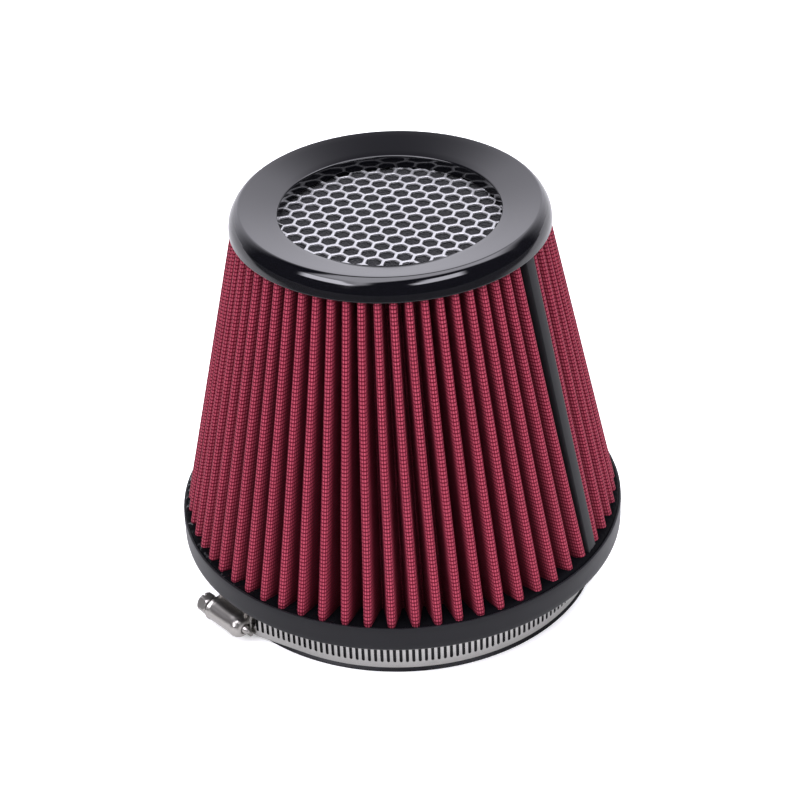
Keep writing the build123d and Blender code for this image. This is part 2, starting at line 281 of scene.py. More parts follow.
def rounded(corners, radii, steps=6, closed=True):
    """An outline with its corners rounded by arcs, which stay inside the neighbouring runs."""
    points = []
    count = len(corners)
    for index, corner in enumerate(corners):
        here = Vector(corner)
        radius = radii[index]
        if not radius or (not closed and index in (0, count - 1)):
            points.append(here)
            continue
        back = Vector(corners[index - 1]) - here
        ahead = Vector(corners[(index + 1) % count]) - here
        half = back.angle(ahead) / 2
        cut = min(radius / tan(half), 0.49 * back.length, 0.49 * ahead.length)
        centre = here + (back.normalized() + ahead.normalized()).normalized() * (cut / cos(half))
        first = here + back.normalized() * cut - centre
        last = here + ahead.normalized() * cut - centre
        turn = first.angle(last)
        for step in range(steps + 1):
            share = step / steps
            points.append(centre + (first * sin((1 - share) * turn) + last * sin(share * turn)) / sin(turn))
    return points


def rounded_outline(outline, steps):
    """A closed outline of corners, each given with its own radius."""
    return rounded([corner for corner, _ in outline], [radius for _, radius in outline], steps=steps)


def divided(points, step, closed=True):
    """An outline with extra points, so that no run is longer than a step."""
    fine = []
    count = len(points)
    for index in range(count if closed else count - 1):
        here, ahead = points[index], points[(index + 1) % count]
        parts = max(1, ceil((ahead - here).length / step))
        fine += [here.lerp(ahead, part / parts) for part in range(parts)]
    return fine if closed else fine + [points[-1]]


def grid_faces(rows, columns, wrap_rows=False, wrap_columns=False):
    """Faces of a grid of corners, kept row by row."""
    faces = []
    for row in range(rows if wrap_rows else rows - 1):
        for column in range(columns if wrap_columns else columns - 1):
            above, beside = (row + 1) % rows, (column + 1) % columns
            faces.append(
                (row * columns + column, row * columns + beside, above * columns + beside, above * columns + column)
            )
    return faces


def lathe(section, sides, shape=None):
    """Corners and faces of a closed section of radius and height, turned round the axis."""
    corners = []
    for side in range(sides):
        turn = 2 * pi * side / sides
        for radius, height in section:
            if shape:
                radius, height = shape(turn, radius, height)
            corners.append((radius * cos(turn), radius * sin(turn), height))
    return corners, grid_faces(sides, len(section), wrap_rows=True, wrap_columns=True)


def add_layer(piece, name, value_at):
    """A flat layer of a mesh, with a value for the number of each corner."""
    layer = piece.data.uv_layers.new(name=name)
    for loop in piece.data.loops:
        layer.data[loop.index].uv = value_at(loop.vertex_index)


def off_flat(turn):
    """Turn from the middle of the nearest side of a hexagon."""
    return (turn + pi / 6) % (pi / 3) - pi / 6


def ripple(turn, scale, seed):
    """Smooth unevenness round a ring, from -1 to 1, the same on every run."""
    return noise.noise(Vector((scale * cos(turn), scale * sin(turn), seed)))


# Shader building


class Nodes:
    """A node tree with short calls to add and join nodes."""

    def __init__(self, tree):
        self.tree = tree

    def add(self, kind, inputs=None, **settings):
        """A new node, with its settings made and its inputs set or joined."""
        node = self.tree.nodes.new(kind)
        for name, value in settings.items():
            setattr(node, name, value)
        for key, value in (inputs or {}).items():
            self.feed(node, key, value)
        return node

    def feed(self, node, key, value):
        """Joins a socket to an input, or sets the input's value."""
        if isinstance(value, bpy.types.NodeSocket):
            self.tree.links.new(value, node.inputs[key])
        else:
            node.inputs[key].default_value = value

    def math(self, operation, first, second=0.0, third=0.0, clamp=False):
        """Result of a math node."""
        inputs = {0: first, 1: second, 2: third}
        return self.add("ShaderNodeMath", inputs, operation=operation, use_clamp=clamp).outputs[0]

    def mix(self, share, first, second):
        """Two colours mixed by a share."""
        node = self.add("ShaderNodeMix", data_type="RGBA")
        for key, value in ((0, share), (6, first), (7, second)):
            self.feed(node, key, (*value, 1) if isinstance(value, tuple) and len(value) == 3 else value)
        return node.outputs[2]

    def ramp(self, value, low, high, to_low=0.0, to_high=1.0):
        """A value mapped smoothly from one range to another."""
        inputs = {0: value, 1: low, 2: high, 3: to_low, 4: to_high}
        return self.add("ShaderNodeMapRange", inputs, interpolation_type="SMOOTHSTEP").outputs[0]

    def noise(self, vector, scale, detail=3.0, rough=0.5):
        """A noise value from 0 to 1."""
        inputs = {"Vector": vector, "Scale": scale, "Detail": detail, "Roughness": rough}
        return self.add("ShaderNodeTexNoise", inputs).outputs[0]

    def place(self):
        """Where a point lies in the shared frame, in metres."""
        return self.add("ShaderNodeTexCoord").outputs["Object"]


def new_group(name, inputs, outputs):
    """An empty shader group with named float, colour or vector sockets."""
    tree = bpy.data.node_groups.new(name, "ShaderNodeTree")
    kinds = {"float": "NodeSocketFloat", "colour": "NodeSocketColor", "vector": "NodeSocketVector"}
    for label, kind, default in inputs:
        socket = tree.interface.new_socket(name=label, in_out="INPUT", socket_type=kinds[kind])
        if default is not None:
            socket.default_value = default
    for label, kind in outputs:
        tree.interface.new_socket(name=label, in_out="OUTPUT", socket_type=kinds[kind])
    nodes = Nodes(tree)
    return nodes, nodes.add("NodeGroupInput").outputs, nodes.add("NodeGroupOutput").inputs


def tone_drift_group():
    """Slow drift of a colour over a surface, as dust and handling leave it."""
    inputs = [("Colour", "colour", (0.5, 0.5, 0.5, 1)), ("Scale", "float", 60.0), ("Amount", "float", 0.15)]
    nodes, given, out = new_group("tone_drift", inputs, [("Colour", "colour")])
    drift = nodes.noise(nodes.place(), given["Scale"], 4.0, 0.6)
    swing = nodes.math("MULTIPLY", nodes.math("SUBTRACT", drift, 0.5), nodes.math("MULTIPLY", given["Amount"], 2.0))
    scaled = nodes.add("ShaderNodeVectorMath", {0: given["Colour"]}, operation="SCALE")
    nodes.feed(scaled, "Scale", nodes.math("ADD", swing, 1.0))
    nodes.tree.links.new(scaled.outputs[0], out["Colour"])
    return nodes.tree


def fine_grain_group():
    """Fine grain of a moulded or spun surface: a height, and a roughness that goes with it."""
    inputs = [("Scale", "float", 900.0), ("Smooth", "float", 0.3), ("Rough", "float", 0.5)]
    nodes, given, out = new_group("fine_grain", inputs, [("Height", "float"), ("Roughness", "float")])
    grain = nodes.noise(nodes.place(), given["Scale"], 3.0, 0.55)
    patches = nodes.noise(nodes.place(), nodes.math("MULTIPLY", given["Scale"], 0.06), 2.0, 0.5)
    share = nodes.math("MULTIPLY_ADD", grain, 0.35, nodes.math("MULTIPLY", patches, 0.65))
    span = nodes.math("SUBTRACT", given["Rough"], given["Smooth"])
    nodes.tree.links.new(grain, out["Height"])
    nodes.tree.links.new(nodes.math("MULTIPLY_ADD", share, span, given["Smooth"]), out["Roughness"])
    return nodes.tree


def screen_group():
    """Woven wire screen over soft gauze: a wire mask, a cushion mask and the height of both."""
    inputs = [("Sheet", "vector", None), ("Pitch", "float", 1.0), ("Rise", "float", 1.0), ("Wire", "float", 0.3)]
    outputs = [("Wire", "float"), ("Cushion", "float"), ("Height", "float")]
    nodes, given, out = new_group("wire_screen", inputs, outputs)
    place = nodes.add("ShaderNodeSeparateXYZ", {0: given["Sheet"]}).outputs
    ridges, cells, counts = [], [], []
    wire_shares = (0.46, 0.44)
    for axis, spacing in enumerate(("Pitch", "Rise")):
        steps = nodes.math("DIVIDE", place[axis], given[spacing])
        counts.append(nodes.math("FLOOR", nodes.math("ADD", steps, 0.5)))
        off = nodes.math("ABSOLUTE", nodes.math("SUBTRACT", steps, counts[axis]))
        half = nodes.math("MULTIPLY", given["Wire"], wire_shares[axis])
        core, edge = nodes.math("MULTIPLY", half, 0.55), nodes.math("MULTIPLY", half, 1.45)
        ridges.append(nodes.ramp(off, core, edge, 1.0, 0.0))
        cells.append(nodes.math("MULTIPLY", off, 2.0))
    weave = nodes.math("MODULO", nodes.math("ABSOLUTE", nodes.math("ADD", counts[0], counts[1])), 2.0)
    over = nodes.math("MULTIPLY", ridges[0], nodes.math("MULTIPLY_ADD", weave, 0.5, 0.6))
    under = nodes.math("MULTIPLY", ridges[1], nodes.math("MULTIPLY_ADD", weave, -0.5, 1.1))
    wires = nodes.math("MAXIMUM", ridges[0], ridges[1])
    cushion = nodes.math("MULTIPLY", nodes.ramp(cells[0], 0.0, 0.6), nodes.ramp(cells[1], 0.0, 0.8))
    height = nodes.math("MAXIMUM", nodes.math("MAXIMUM", over, under), nodes.math("MULTIPLY", cushion, 0.7))
    nodes.tree.links.new(wires, out["Wire"])
    nodes.tree.links.new(cushion, out["Cushion"])
    nodes.tree.links.new(height, out["Height"])
    return nodes.tree


def rolled_lines_group():
    """Fine lines along a rolled or turned steel surface, with the roughness that goes with them."""
    inputs = [("Sheet", "vector", None), ("Smooth", "float", 0.2), ("Rough", "float", 0.35)]
    nodes, given, out = new_group("rolled_lines", inputs, [("Height", "float"), ("Roughness", "float")])
    drawn = nodes.add("ShaderNodeVectorMath", {0: given["Sheet"], 1: (30.0, 6000.0, 6000.0)}, operation="MULTIPLY")
    lines = nodes.noise(drawn.outputs[0], 1.0, 2.0, 0.6)
    span = nodes.math("SUBTRACT", given["Rough"], given["Smooth"])
    nodes.tree.links.new(lines, out["Height"])
    nodes.tree.links.new(nodes.math("MULTIPLY_ADD", lines, span, given["Smooth"]), out["Roughness"])
    return nodes.tree


GROUP_MAKERS = {
    "tone_drift": tone_drift_group,
    "fine_grain": fine_grain_group,
    "wire_screen": screen_group,
    "rolled_lines": rolled_lines_group,
}


def group(nodes, name, inputs):
    """A shared effect placed in a material, built the first time it is asked for."""
    tree = bpy.data.node_groups.get(name) or GROUP_MAKERS[name]()
    return nodes.add("ShaderNodeGroup", inputs, node_tree=tree).outputs


def new_finish(name, **constants):
    """A material with its Principled shader, whose constant inputs are set on its own sockets."""
    finish = bpy.data.materials.new(name)
    finish.use_nodes = True
    nodes = Nodes(finish.node_tree)
    shader = finish.node_tree.nodes["Principled BSDF"]
    for key, value in constants.items():
        shader.inputs[key.replace("_", " ").title().replace("Ior", "IOR")].default_value = value
    return finish, nodes, shader


def bump(nodes, height, strength, distance):
    """A normal from a height."""
    inputs = {"Height": height, "Strength": strength, "Distance": distance}
    return nodes.add("ShaderNodeBump", inputs).outputs[0]


def sheet_place(nodes):
    """A point's place on its flat sheet, in metres."""
    return nodes.add("ShaderNodeUVMap", uv_map="sheet").outputs[0]


def grained_finish(name, tint, drift, grain, relief, relief_depth=0.1 * MM, **constants):
    """A surface whose tone drifts and whose fine grain sets its roughness and relief."""
    finish, nodes, shader = new_finish(name, **constants)
    drifting = group(nodes, "tone_drift", {"Colour": (*tint, 1), **drift})
    grained = group(nodes, "fine_grain", grain)
    nodes.feed(shader, "Base Color", drifting["Colour"])
    nodes.feed(shader, "Roughness", grained["Roughness"])
    nodes.feed(shader, "Normal", bump(nodes, grained["Height"], relief, relief_depth))
    return finish, nodes, shader


def rubber_finish(tint):
    """Satin moulded rubber with a fine grain and a little dust."""
    drift = {"Scale": 55.0, "Amount": 0.16}
    grain = {"Scale": 1400.0, "Smooth": 0.3, "Rough": 0.44}
    return grained_finish("moulded_rubber", tint, drift, grain, relief=0.12, specular_ior_level=0.18)[0]


def potting_finish(tint):
    """Poured rubber: dull and black, with wet lines on the left where it crept and set."""
    drift = {"Scale": 80.0, "Amount": 0.3}
    grain = {"Scale": 700.0, "Smooth": 0.5, "Rough": 0.8}
    gloss = {"specular_ior_level": 0.02, "coat_roughness": 0.12}
    finish, nodes, shader = grained_finish("poured_rubber", tint, drift, grain, 0.5, 0.3 * MM, **gloss)
    creep = nodes.noise(nodes.place(), 260.0, 1.0, 0.4)
    line_core, line_edge = 0.012, 0.045
    line = nodes.ramp(nodes.math("ABSOLUTE", nodes.math("SUBTRACT", creep, 0.5)), line_core, line_edge, 1.0, 0.0)
    patches = nodes.ramp(nodes.noise(nodes.place(), 120.0, 1.0, 0.5), 0.3, 0.5)
    aside = nodes.add("ShaderNodeSeparateXYZ", {0: nodes.place()}).outputs[0]
    all_wet, all_dry = -0.05, -0.02
    wet = nodes.math("MULTIPLY", patches, nodes.ramp(aside, all_wet, all_dry, 1.0, 0.0))
    nodes.feed(shader, "Coat Weight", nodes.math("MULTIPLY", line, wet))
    return finish


def gauze_finish(settings):
    """Red oiled gauze under a woven wire screen, with painted shade beside the wires and down in the folds, and a
    painted highlight on the middles of the cells.
    """
    finish, nodes, shader = new_finish("screened_gauze", specular_ior_level=0.06)
    spacing = {"Pitch": settings.screen_pitch, "Rise": settings.screen_rise, "Wire": 0.3}
    wires = group(nodes, "wire_screen", {"Sheet": sheet_place(nodes), **spacing})
    fold_place = nodes.add("ShaderNodeUVMap", uv_map="folds").outputs[0]
    folds = nodes.add("ShaderNodeSeparateXYZ", {0: fold_place}).outputs
    drift = group(nodes, "tone_drift", {"Colour": (*settings.gauze, 1), "Scale": 90.0, "Amount": 0.2})
    yarn = nodes.noise(nodes.place(), 3200.0, 2.0, 0.6)
    # Painted shade: the gauze darkens from the middle of each cell towards the wires
    soft = nodes.mix(nodes.ramp(wires["Cushion"], 0.02, 0.75), tuple(settings.hollow_shade), drift["Colour"])
    # Painted highlight on the middle of each cell, flecked by the yarn noise, in the thread colour
    thread_highlight_share = nodes.math("MULTIPLY", wires["Cushion"], nodes.math("MULTIPLY", yarn, 0.5))
    thread = nodes.mix(thread_highlight_share, soft, tuple(settings.thread))
    woven = nodes.mix(wires["Wire"], thread, tuple(settings.wire))
    # Painted shade: the gauze darkens with its depth in the pleat, towards the fold shade colour
    fold_shade_start, fold_shade_end, fold_shade_share = 0.05, 0.42, 0.84
    shaded = nodes.mix(nodes.ramp(folds[0], fold_shade_start, fold_shade_end, 0.0, fold_shade_share), woven, tuple(settings.fold))
    nodes.feed(shader, "Base Color", shaded)
    nodes.feed(shader, "Roughness", nodes.ramp(wires["Wire"], 0.0, 1.0, 0.8, 0.5))
    nodes.feed(shader, "Normal", bump(nodes, wires["Height"], 0.8, 0.22 * MM))
    return finish


def strip_finish(tint):
    """Satin black plastic of the seam strip."""
    drift = {"Scale": 70.0, "Amount": 0.2}
    grain = {"Scale": 1100.0, "Smooth": 0.24, "Rough": 0.36}
    return grained_finish("strip_plastic", tint, drift, grain, relief=0.05, specular_ior_level=0.12)[0]


def cap_finish(tint):
    """Glossy black plastic with a faint ripple and a trace of dust."""
    drift = {"Scale": 40.0, "Amount": 0.2}
    grain = {"Scale": 420.0, "Smooth": 0.03, "Rough": 0.07}
    return grained_finish("glossy_cap", tint, drift, grain, relief=0.008, specular_ior_level=0.55)[0]


def grille_finish(tint):
    """Pale bare metal of the grille, with small dents and duller patches."""
    drift = {"Scale": 160.0, "Amount": 0.12}
    grain = {"Scale": 900.0, "Smooth": 0.36, "Rough": 0.54}
    return grained_finish("grille_metal", tint, drift, grain, relief=0.18, metallic=0.8)[0]


def foam_finish(tint):
    """Open-celled dark foam, with painted shade in its pores."""
    finish, nodes, shader = new_finish("dark_foam", specular_ior_level=0.15, sheen_weight=0.06)
    cells = nodes.add("ShaderNodeTexVoronoi", {"Vector": nodes.place(), "Scale": 1100.0}).outputs["Distance"]
    fuzz = nodes.noise(nodes.place(), 1900.0, 3.0, 0.7)
    drift = group(nodes, "tone_drift", {"Colour": (*tint, 1), "Scale": 220.0, "Amount": 0.35})
    pores = nodes.ramp(nodes.math("MULTIPLY", cells, fuzz), 0.02, 0.4)
    # Painted shade: the foam is darker down in its pores, where the same mask dents it
    nodes.feed(shader, "Base Color", nodes.mix(pores, (0.006, 0.006, 0.007), drift["Colour"]))
    nodes.feed(shader, "Roughness", nodes.ramp(fuzz, 0.2, 0.8, 0.85, 1.0))
    nodes.feed(shader, "Normal", bump(nodes, pores, 0.9, 0.6 * MM))
    return finish


def steel_finish(name, tint, smooth, rough):
    """Bright steel of the clamp with fine lines along it."""
    finish, nodes, shader = new_finish(name, metallic=1.0)
    drift = group(nodes, "tone_drift", {"Colour": (*tint, 1), "Scale": 130.0, "Amount": 0.08})
    lines = group(nodes, "rolled_lines", {"Sheet": sheet_place(nodes), "Smooth": smooth, "Rough": rough})
    nodes.feed(shader, "Base Color", drift["Colour"])
    nodes.feed(shader, "Roughness", lines["Roughness"])
    nodes.feed(shader, "Normal", bump(nodes, lines["Height"], 0.06, 0.05 * MM))
    return finish


def floor_finish(tint):
    """Plain pale sheet that glows a little and is dimmer in reflections, most of all far in front."""
    finish, nodes, shader = new_finish("pale_floor", specular_ior_level=0.2, emission_strength=0.4)
    drift = group(nodes, "tone_drift", {"Colour": (*tint, 1), "Scale": 3.0, "Amount": 0.01})
    grain = group(nodes, "fine_grain", {"Scale": 300.0, "Smooth": 0.6, "Rough": 0.7})
    aside, forward, _ = nodes.add("ShaderNodeSeparateXYZ", {0: nodes.place()}).outputs
    behind = nodes.math("MULTIPLY_ADD", nodes.math("ABSOLUTE", aside), -0.5, forward)
    mirrored = nodes.add("ShaderNodeLightPath").outputs["Is Glossy Ray"]
    far_front, near_front, far_shade, near_shade = -0.42, -0.18, 0.94, 0.46
    shade = nodes.math("MULTIPLY", mirrored, nodes.ramp(behind, far_front, near_front, far_shade, near_shade))
    seen = nodes.mix(shade, drift["Colour"], (0.0, 0.0, 0.0))
    nodes.feed(shader, "Base Color", seen)
    nodes.feed(shader, "Emission Color", seen)
    nodes.feed(shader, "Roughness", grain["Roughness"])
    return finish


# Pieces


def settings_of(name):
    """One group of the add-on's settings."""
    return getattr(bpy.context.scene.air_filter, name)


class AIRFILTER_OT_base(bpy.types.Operator):
    """Moulds the base: neck, lip, flange and the thin rim round the poured tray"""

    bl_idname = "airfilter.base"
    bl_label = "Moulded Base"

    SECTION_STEP = 2.4 * MM
    POUR_STEP = 1.2 * MM
    POUR_SWING = 5.0 * MM
    POUR_LOWEST = radians(-105)
    # Millimetres inward from the rim, and the share of the climb that is reached there
    POUR_BANK = (
        (-0.1, 0.0),
        (0.15, 0.2),
        (0.3, 0.5),
        (0.55, 0.8),
        (0.9, 0.95),
        (1.6, 1.0),
        (3.0, 0.95),
        (6.0, 0.85),
    )

    def execute(self, context):
        settings = settings_of("base")
        small, edge = settings.lip_round, settings.edge_round
        outline = [
            ((BORE_R, GROUND), small),
            ((LIP_R, GROUND), small),
            ((NECK_R, LIP_TOP), small),
            ((NECK_R, SHOULDER), edge),
            ((RIM_R, SHOULDER), edge),
            ((RIM_R, RIM_TOP), 0.5 * small),
            ((RIM_INNER_R, RIM_TOP), 0.5 * small),
            ((RIM_INNER_R, TRAY_FLOOR), small),
            ((BORE_R, TRAY_FLOOR), edge),
        ]
        section = divided(rounded_outline(outline, steps=4), self.SECTION_STEP)

        def shape(turn, radius, height):
            """The rim's top wanders a little."""
            if height > RIM_TOP - small:
                height += settings.rim_unevenness * (ripple(turn, 9.0, 1.3) - 0.6)
                radius -= 0.5 * settings.rim_unevenness * (1 + ripple(turn, 7.0, 4.1))
            return radius, height

        corners, faces = lathe(section, settings.sides, shape)
        make_piece("base_moulding", corners, faces, rubber_finish(settings.tint), ["base_flange"])
        self.pour(settings)
        return {"FINISHED"}

    def pour(self, settings):
        """The rubber poured round the feet of the pleats, which climbs up them from the rim."""
        low, inner = TRAY_FLOOR - 0.3 * MM, BORE_R + 1.5 * MM
        foot = RIM_TOP - 0.4 * MM
        foot_gap = RIM_TOP - foot
        top = [(RIM_INNER_R - inward * MM, foot + share * MM) for inward, share in self.POUR_BANK]
        top.append((inner, top[-1][1]))
        section = [Vector(point) for point in [(inner, low), (top[0][0], low)] + top]

        def shape(turn, radius, height):
            """Waves of the poured face, and the ragged line where it stops on the gauze."""
            if height >= foot:
                climb = self.POUR_SWING * (1 - cos(turn - self.POUR_LOWEST)) - settings.potting_dip
                climb = min(climb, settings.potting_rise) + foot_gap
                wave = noise.noise(Vector((turn * 48, radius * 350, 2.7)))
                wave += 0.6 * noise.noise(Vector((turn * 130, radius * 800, 7.1)))
                height = foot + (height - foot) / MM * (climb + settings.potting_unevenness * wave)
            return radius, height

        corners, faces = lathe(divided(section, self.POUR_STEP), 4 * settings.sides, shape)
        make_piece("poured_rubber", corners, faces, potting_finish(settings.potting))


def half_pleat(half_pitch, depth, tip_flat, tip_round, valley_round):
    """Outline of half a pleat, from the middle of its tip to the bottom of the valley beside it."""
    run = Vector((half_pitch - tip_flat, tip_round + valley_round - depth))
    lie = atan2(run.y, run.x) + acos((tip_round + valley_round) / run.length)
    tip_steps, flank_steps, valley_steps = 4, 3, 2
    points = [Vector((0, 0.05 * tip_round))]
    for step in range(tip_steps + 1):
        turn = pi / 2 + (lie - pi / 2) * step / tip_steps
        points.append(Vector((tip_flat + tip_round * cos(turn), tip_round * (sin(turn) - 1))))
    valley = Vector((half_pitch, valley_round - depth))
    foot = valley - valley_round * Vector((cos(lie), sin(lie)))
    start = points[-1]
    points += [start.lerp(foot, step / flank_steps) for step in range(1, flank_steps + 1)]
    for step in range(1, valley_steps + 1):
        turn = pi + lie + (pi / 2 - lie) * step / valley_steps
        points.append(valley + valley_round * Vector((cos(turn), sin(turn))))
    return points


def media_share(height):
    """How far up the pleats a height is, from 0 at the feet to 1 at the cap."""
    return (height - MEDIA_LOW) / (MEDIA_HIGH - MEDIA_LOW)


# Shares of the height at which the leaning strip and the leaning pleats are in their places
STRIP_PIVOT = 0.72
PLEAT_PIVOT = 0.4
# Degrees round from the seam, and there the shift of a pleat and its lean from foot to cap, in degrees
PLEAT_SHIFTS = (
    (0, -1.0, 0.0),
    (11, -0.2, 0.0),
    (17, 0.0, 0.0),
    (30, 0.5, 0.0),
    (60, 0.0, 0.0),
    (180, 0.0, 0.0),
    (235, -1.9, 0.0),
    (268, -1.9, 0.0),
    (278, -1.5, 0.0),
    (294, -0.9, -1.3),
    (305, -0.4, -2.3),
    (330, -0.3, -2.6),
    (345, 0.0, -3.3),
    (360, 0.5, -4.2),
)


def pleat_angle(index, share, settings):
    """Where a pleat's tip stands at a share of its height, with its shift, its lean and its wander."""
    step = (2 * pi - settings.seam_gap) / (settings.pleats - 1)
    round_from_seam = settings.seam_gap / 2 + step * index
    spot = round_from_seam * 180 / pi
    before, after = next(pair for pair in zip(PLEAT_SHIFTS, PLEAT_SHIFTS[1:]) if pair[0][0] <= spot <= pair[1][0])
    between = (spot - before[0]) / (after[0] - before[0])
    shift = radians(before[1] + (after[1] - before[1]) * between)
    lean = radians(before[2] + (after[2] - before[2]) * between)
    wander = settings.unevenness * (
        noise.noise(Vector((index * 3.7, 0.4, 8.1))) + 0.8 * noise.noise(Vector((index * 1.9, 2.2 * share, 3.3)))
    )
    return SEAM_ANGLE + round_from_seam + shift + lean * (share - PLEAT_PIVOT) + wander


class AIRFILTER_OT_media(bpy.types.Operator):
    """Folds the gauze and its screens into a cone of round-tipped pleats"""

    bl_idname = "airfilter.media"
    bl_label = "Pleated Gauze"

    TUCK_BELOW, TUCK_ABOVE = 0.4 * MM, 0.2 * MM
    # Millimetres above the feet of the close rows that shape the toes
    TOE_ROWS = (0.0, 0.7, 1.4, 2.1, 3.0, 4.2)
    FIRST_ROW = 6.0 * MM

    def execute(self, context):
        settings = settings_of("media")
        low, high = MEDIA_LOW - self.TUCK_BELOW, MEDIA_HIGH + self.TUCK_ABOVE
        slant = hypot(MEDIA_HIGH - MEDIA_LOW, TIP_LOW_R - TIP_HIGH_R) / (MEDIA_HIGH - MEDIA_LOW)
        corners, places, folds = [], [], []
        toes = [low + rise * MM for rise in self.TOE_ROWS]
        first = low + self.FIRST_ROW
        heights = toes + [first + (high - first) * row / settings.rows for row in range(settings.rows + 1)]
        for height in heights:
            line = self.row(height, media_share(height), settings)
            corners += [corner for corner, _, _ in line]
            places += [(along, (height - low) * slant) for _, along, _ in line]
            folds += [(depth, media_share(height)) for _, _, depth in line]
        faces = grid_faces(len(heights), len(corners) // len(heights))
        piece = make_piece(
            "gauze_pleats", corners, faces, gauze_finish(settings), ["pleated_media"], sharp=180.0
        )
        add_layer(piece, "sheet", places.__getitem__)
        # The folds layer holds each corner's depth in its pleat, which sets the painted fold shade
        add_layer(piece, "folds", folds.__getitem__)
        thicken(piece, settings.thickness, sharp=80.0)
        return {"FINISHED"}

    def row(self, height, share, settings):
        """One level of the sheet, from the fin round to the fin: corner, run from a tip, depth."""
        taper = 1 + (MEDIA_TAPER - 1) * share
        toe = exp(-((max(0.0, height - MEDIA_LOW) / settings.toe_height) ** 2))
        tip_r = TIP_LOW_R * taper - settings.toe_in * toe
        depth = settings.depth * taper - settings.toe_in * toe
        blunt = (0.45 + 0.55 * taper) * (1 - 0.4 * toe)
        tip_flat, tip_round = settings.tip_flat * blunt, settings.tip_round * blunt
        valley_round = settings.valley_round * taper
        angles = [pleat_angle(index, share, settings) for index in range(settings.pleats)]
        step = (2 * pi - settings.seam_gap) / (settings.pleats - 1)
        line = []
        for index, middle in enumerate(angles):
            before = angles[index - 1] if index else middle - step
            after = angles[index + 1] if index + 1 < settings.pleats else middle + step
            swell = tip_round * (1 + 0.06 * noise.noise(Vector((index * 2.3, 1.7 * share, 9.0))))
            left = half_pleat((middle - before) / 2 * tip_r, depth, tip_flat, swell, valley_round)
            right = half_pleat((after - middle) / 2 * tip_r, depth, tip_flat, swell, valley_round)
            end = -1 if index + 1 < settings.pleats else None
            line += self.side(left, -1, middle, tip_r, height, depth)[::-1]
            line += self.side(right, 1, middle, tip_r, height, depth)[1:end]
        return self.fin(1, taper, height, settings) + line + self.fin(-1, taper, height, settings)[::-1]

    def side(self, outline, way, middle, tip_r, height, depth):
        """Half a pleat set in place, with the run of the sheet from the tip."""
        points, run = [], 0.0
        for index, point in enumerate(outline):
            run += (point - outline[index - 1]).length if index else 0.0
            turn = middle + way * point.x / tip_r
            radius = tip_r + point.y
            points.append(((radius * cos(turn), radius * sin(turn), height), way * run, -point.y / depth))
        return points

    def fin(self, way, taper, height, settings):
        """One end of the sheet, pressed against the other inside the seam strip."""
        lean = settings.strip_lean * (media_share(height) - STRIP_PIVOT)
        off = settings.thickness * 1.05
        points = []
        for radius in (
            TIP_LOW_R + STRIP_PROUD - settings.strip_wall - 0.4 * MM,
            TIP_LOW_R - settings.strip_leg - settings.strip_wall,
        ):
            turn = SEAM_ANGLE + lean + way * off / radius
            # The fins are given the full depth, so the painted fold shade darkens them most
            points.append(((radius * taper * cos(turn), radius * taper * sin(turn), height), 0.0, 1.0))
        return points


class AIRFILTER_OT_strip(bpy.types.Operator):
    """Makes the channel that is pushed over the seam of the gauze"""

    bl_idname = "airfilter.strip"
    bl_label = "Seam Strip"

    def execute(self, context):
        settings = settings_of("media")
        half, leg, wall = settings.strip_width / 2, settings.strip_leg, settings.strip_wall
        edge, inside = 0.2 * MM, 0.3 * MM
        outline = [
            ((-half, -leg), edge),
            ((-half, 0), settings.strip_round),
            ((half, 0), settings.strip_round),
            ((half, -leg), edge),
            ((half - wall, -leg), edge),
            ((half - wall, -wall), inside),
            ((wall - half, -wall), inside),
            ((wall - half, -leg), edge),
        ]
        section = rounded_outline(outline, steps=4)
        rows = 24
        corners = []
        for row in range(rows + 1):
            share = row / rows
            height = MEDIA_LOW + (MEDIA_HIGH - MEDIA_LOW) * share
            radius = TIP_LOW_R + (TIP_HIGH_R - TIP_LOW_R) * share + STRIP_PROUD
            turn = SEAM_ANGLE + settings.strip_lean * (share - STRIP_PIVOT)
            wave = 0.12 * MM * noise.noise(Vector((3.1, 6.0 * share, 1.1)))
            out = Vector((cos(turn), sin(turn), 0))
            aside = Vector((-sin(turn), cos(turn), 0))
            corners += [out * (radius + point.y) + aside * (point.x + wave) + UP * height for point in section]
        count = len(section)
        faces = grid_faces(rows + 1, count, wrap_columns=True)
        faces += [tuple(range(count)), tuple(rows * count + index for index in range(count))]
        make_piece("seam_channel", corners, faces, strip_finish(settings.strip), ["seam_strip"])
        return {"FINISHED"}


class AIRFILTER_OT_cap(bpy.types.Operator):
    """Moulds the glossy ring cap"""

    bl_idname = "airfilter.cap"
    bl_label = "Ring Cap"

    SECTION_STEP = 3 * MM
    FOOT_ROUND = 0.15 * MM
    LOWER_EDGE, LOWER_EDGE_ROUND = 0.7 * MM, 0.6 * MM
    # Millimetres drawn in, and millimetres above the straight side
    SHOULDER_CURVE = ((0.25, 0.0), (0.85, 1.9), (1.85, 3.7), (3.15, 5.4))

    def execute(self, context):
        settings = settings_of("cap")
        outline = [
            ((CAP_FOOT_R, CAP_BOTTOM), self.FOOT_ROUND),
            ((CAP_R, CAP_BOTTOM + self.LOWER_EDGE), self.LOWER_EDGE_ROUND),
        ]
        for inward, rise in self.SHOULDER_CURVE:
            outline.append(((CAP_R - inward * MM, CAP_SIDE + rise * MM), settings.side_round))
        outline += [
            ((CAP_CROWN_R - 0.1 * MM, CAP_TOP - 0.1 * MM), settings.crown_round),
            ((OPENING_R, FUNNEL_END + 0.5 * MM), settings.opening_round),
            ((OPENING_R, CAP_BOTTOM), 0.2 * MM),
        ]
        section = rounded_outline(outline, steps=10)
        corners, faces = lathe(divided(section, self.SECTION_STEP), settings_of("base").sides)
        make_piece("ring_cap", corners, faces, cap_finish(settings.tint), ["top_cap"], sharp=60.0)
        return {"FINISHED"}


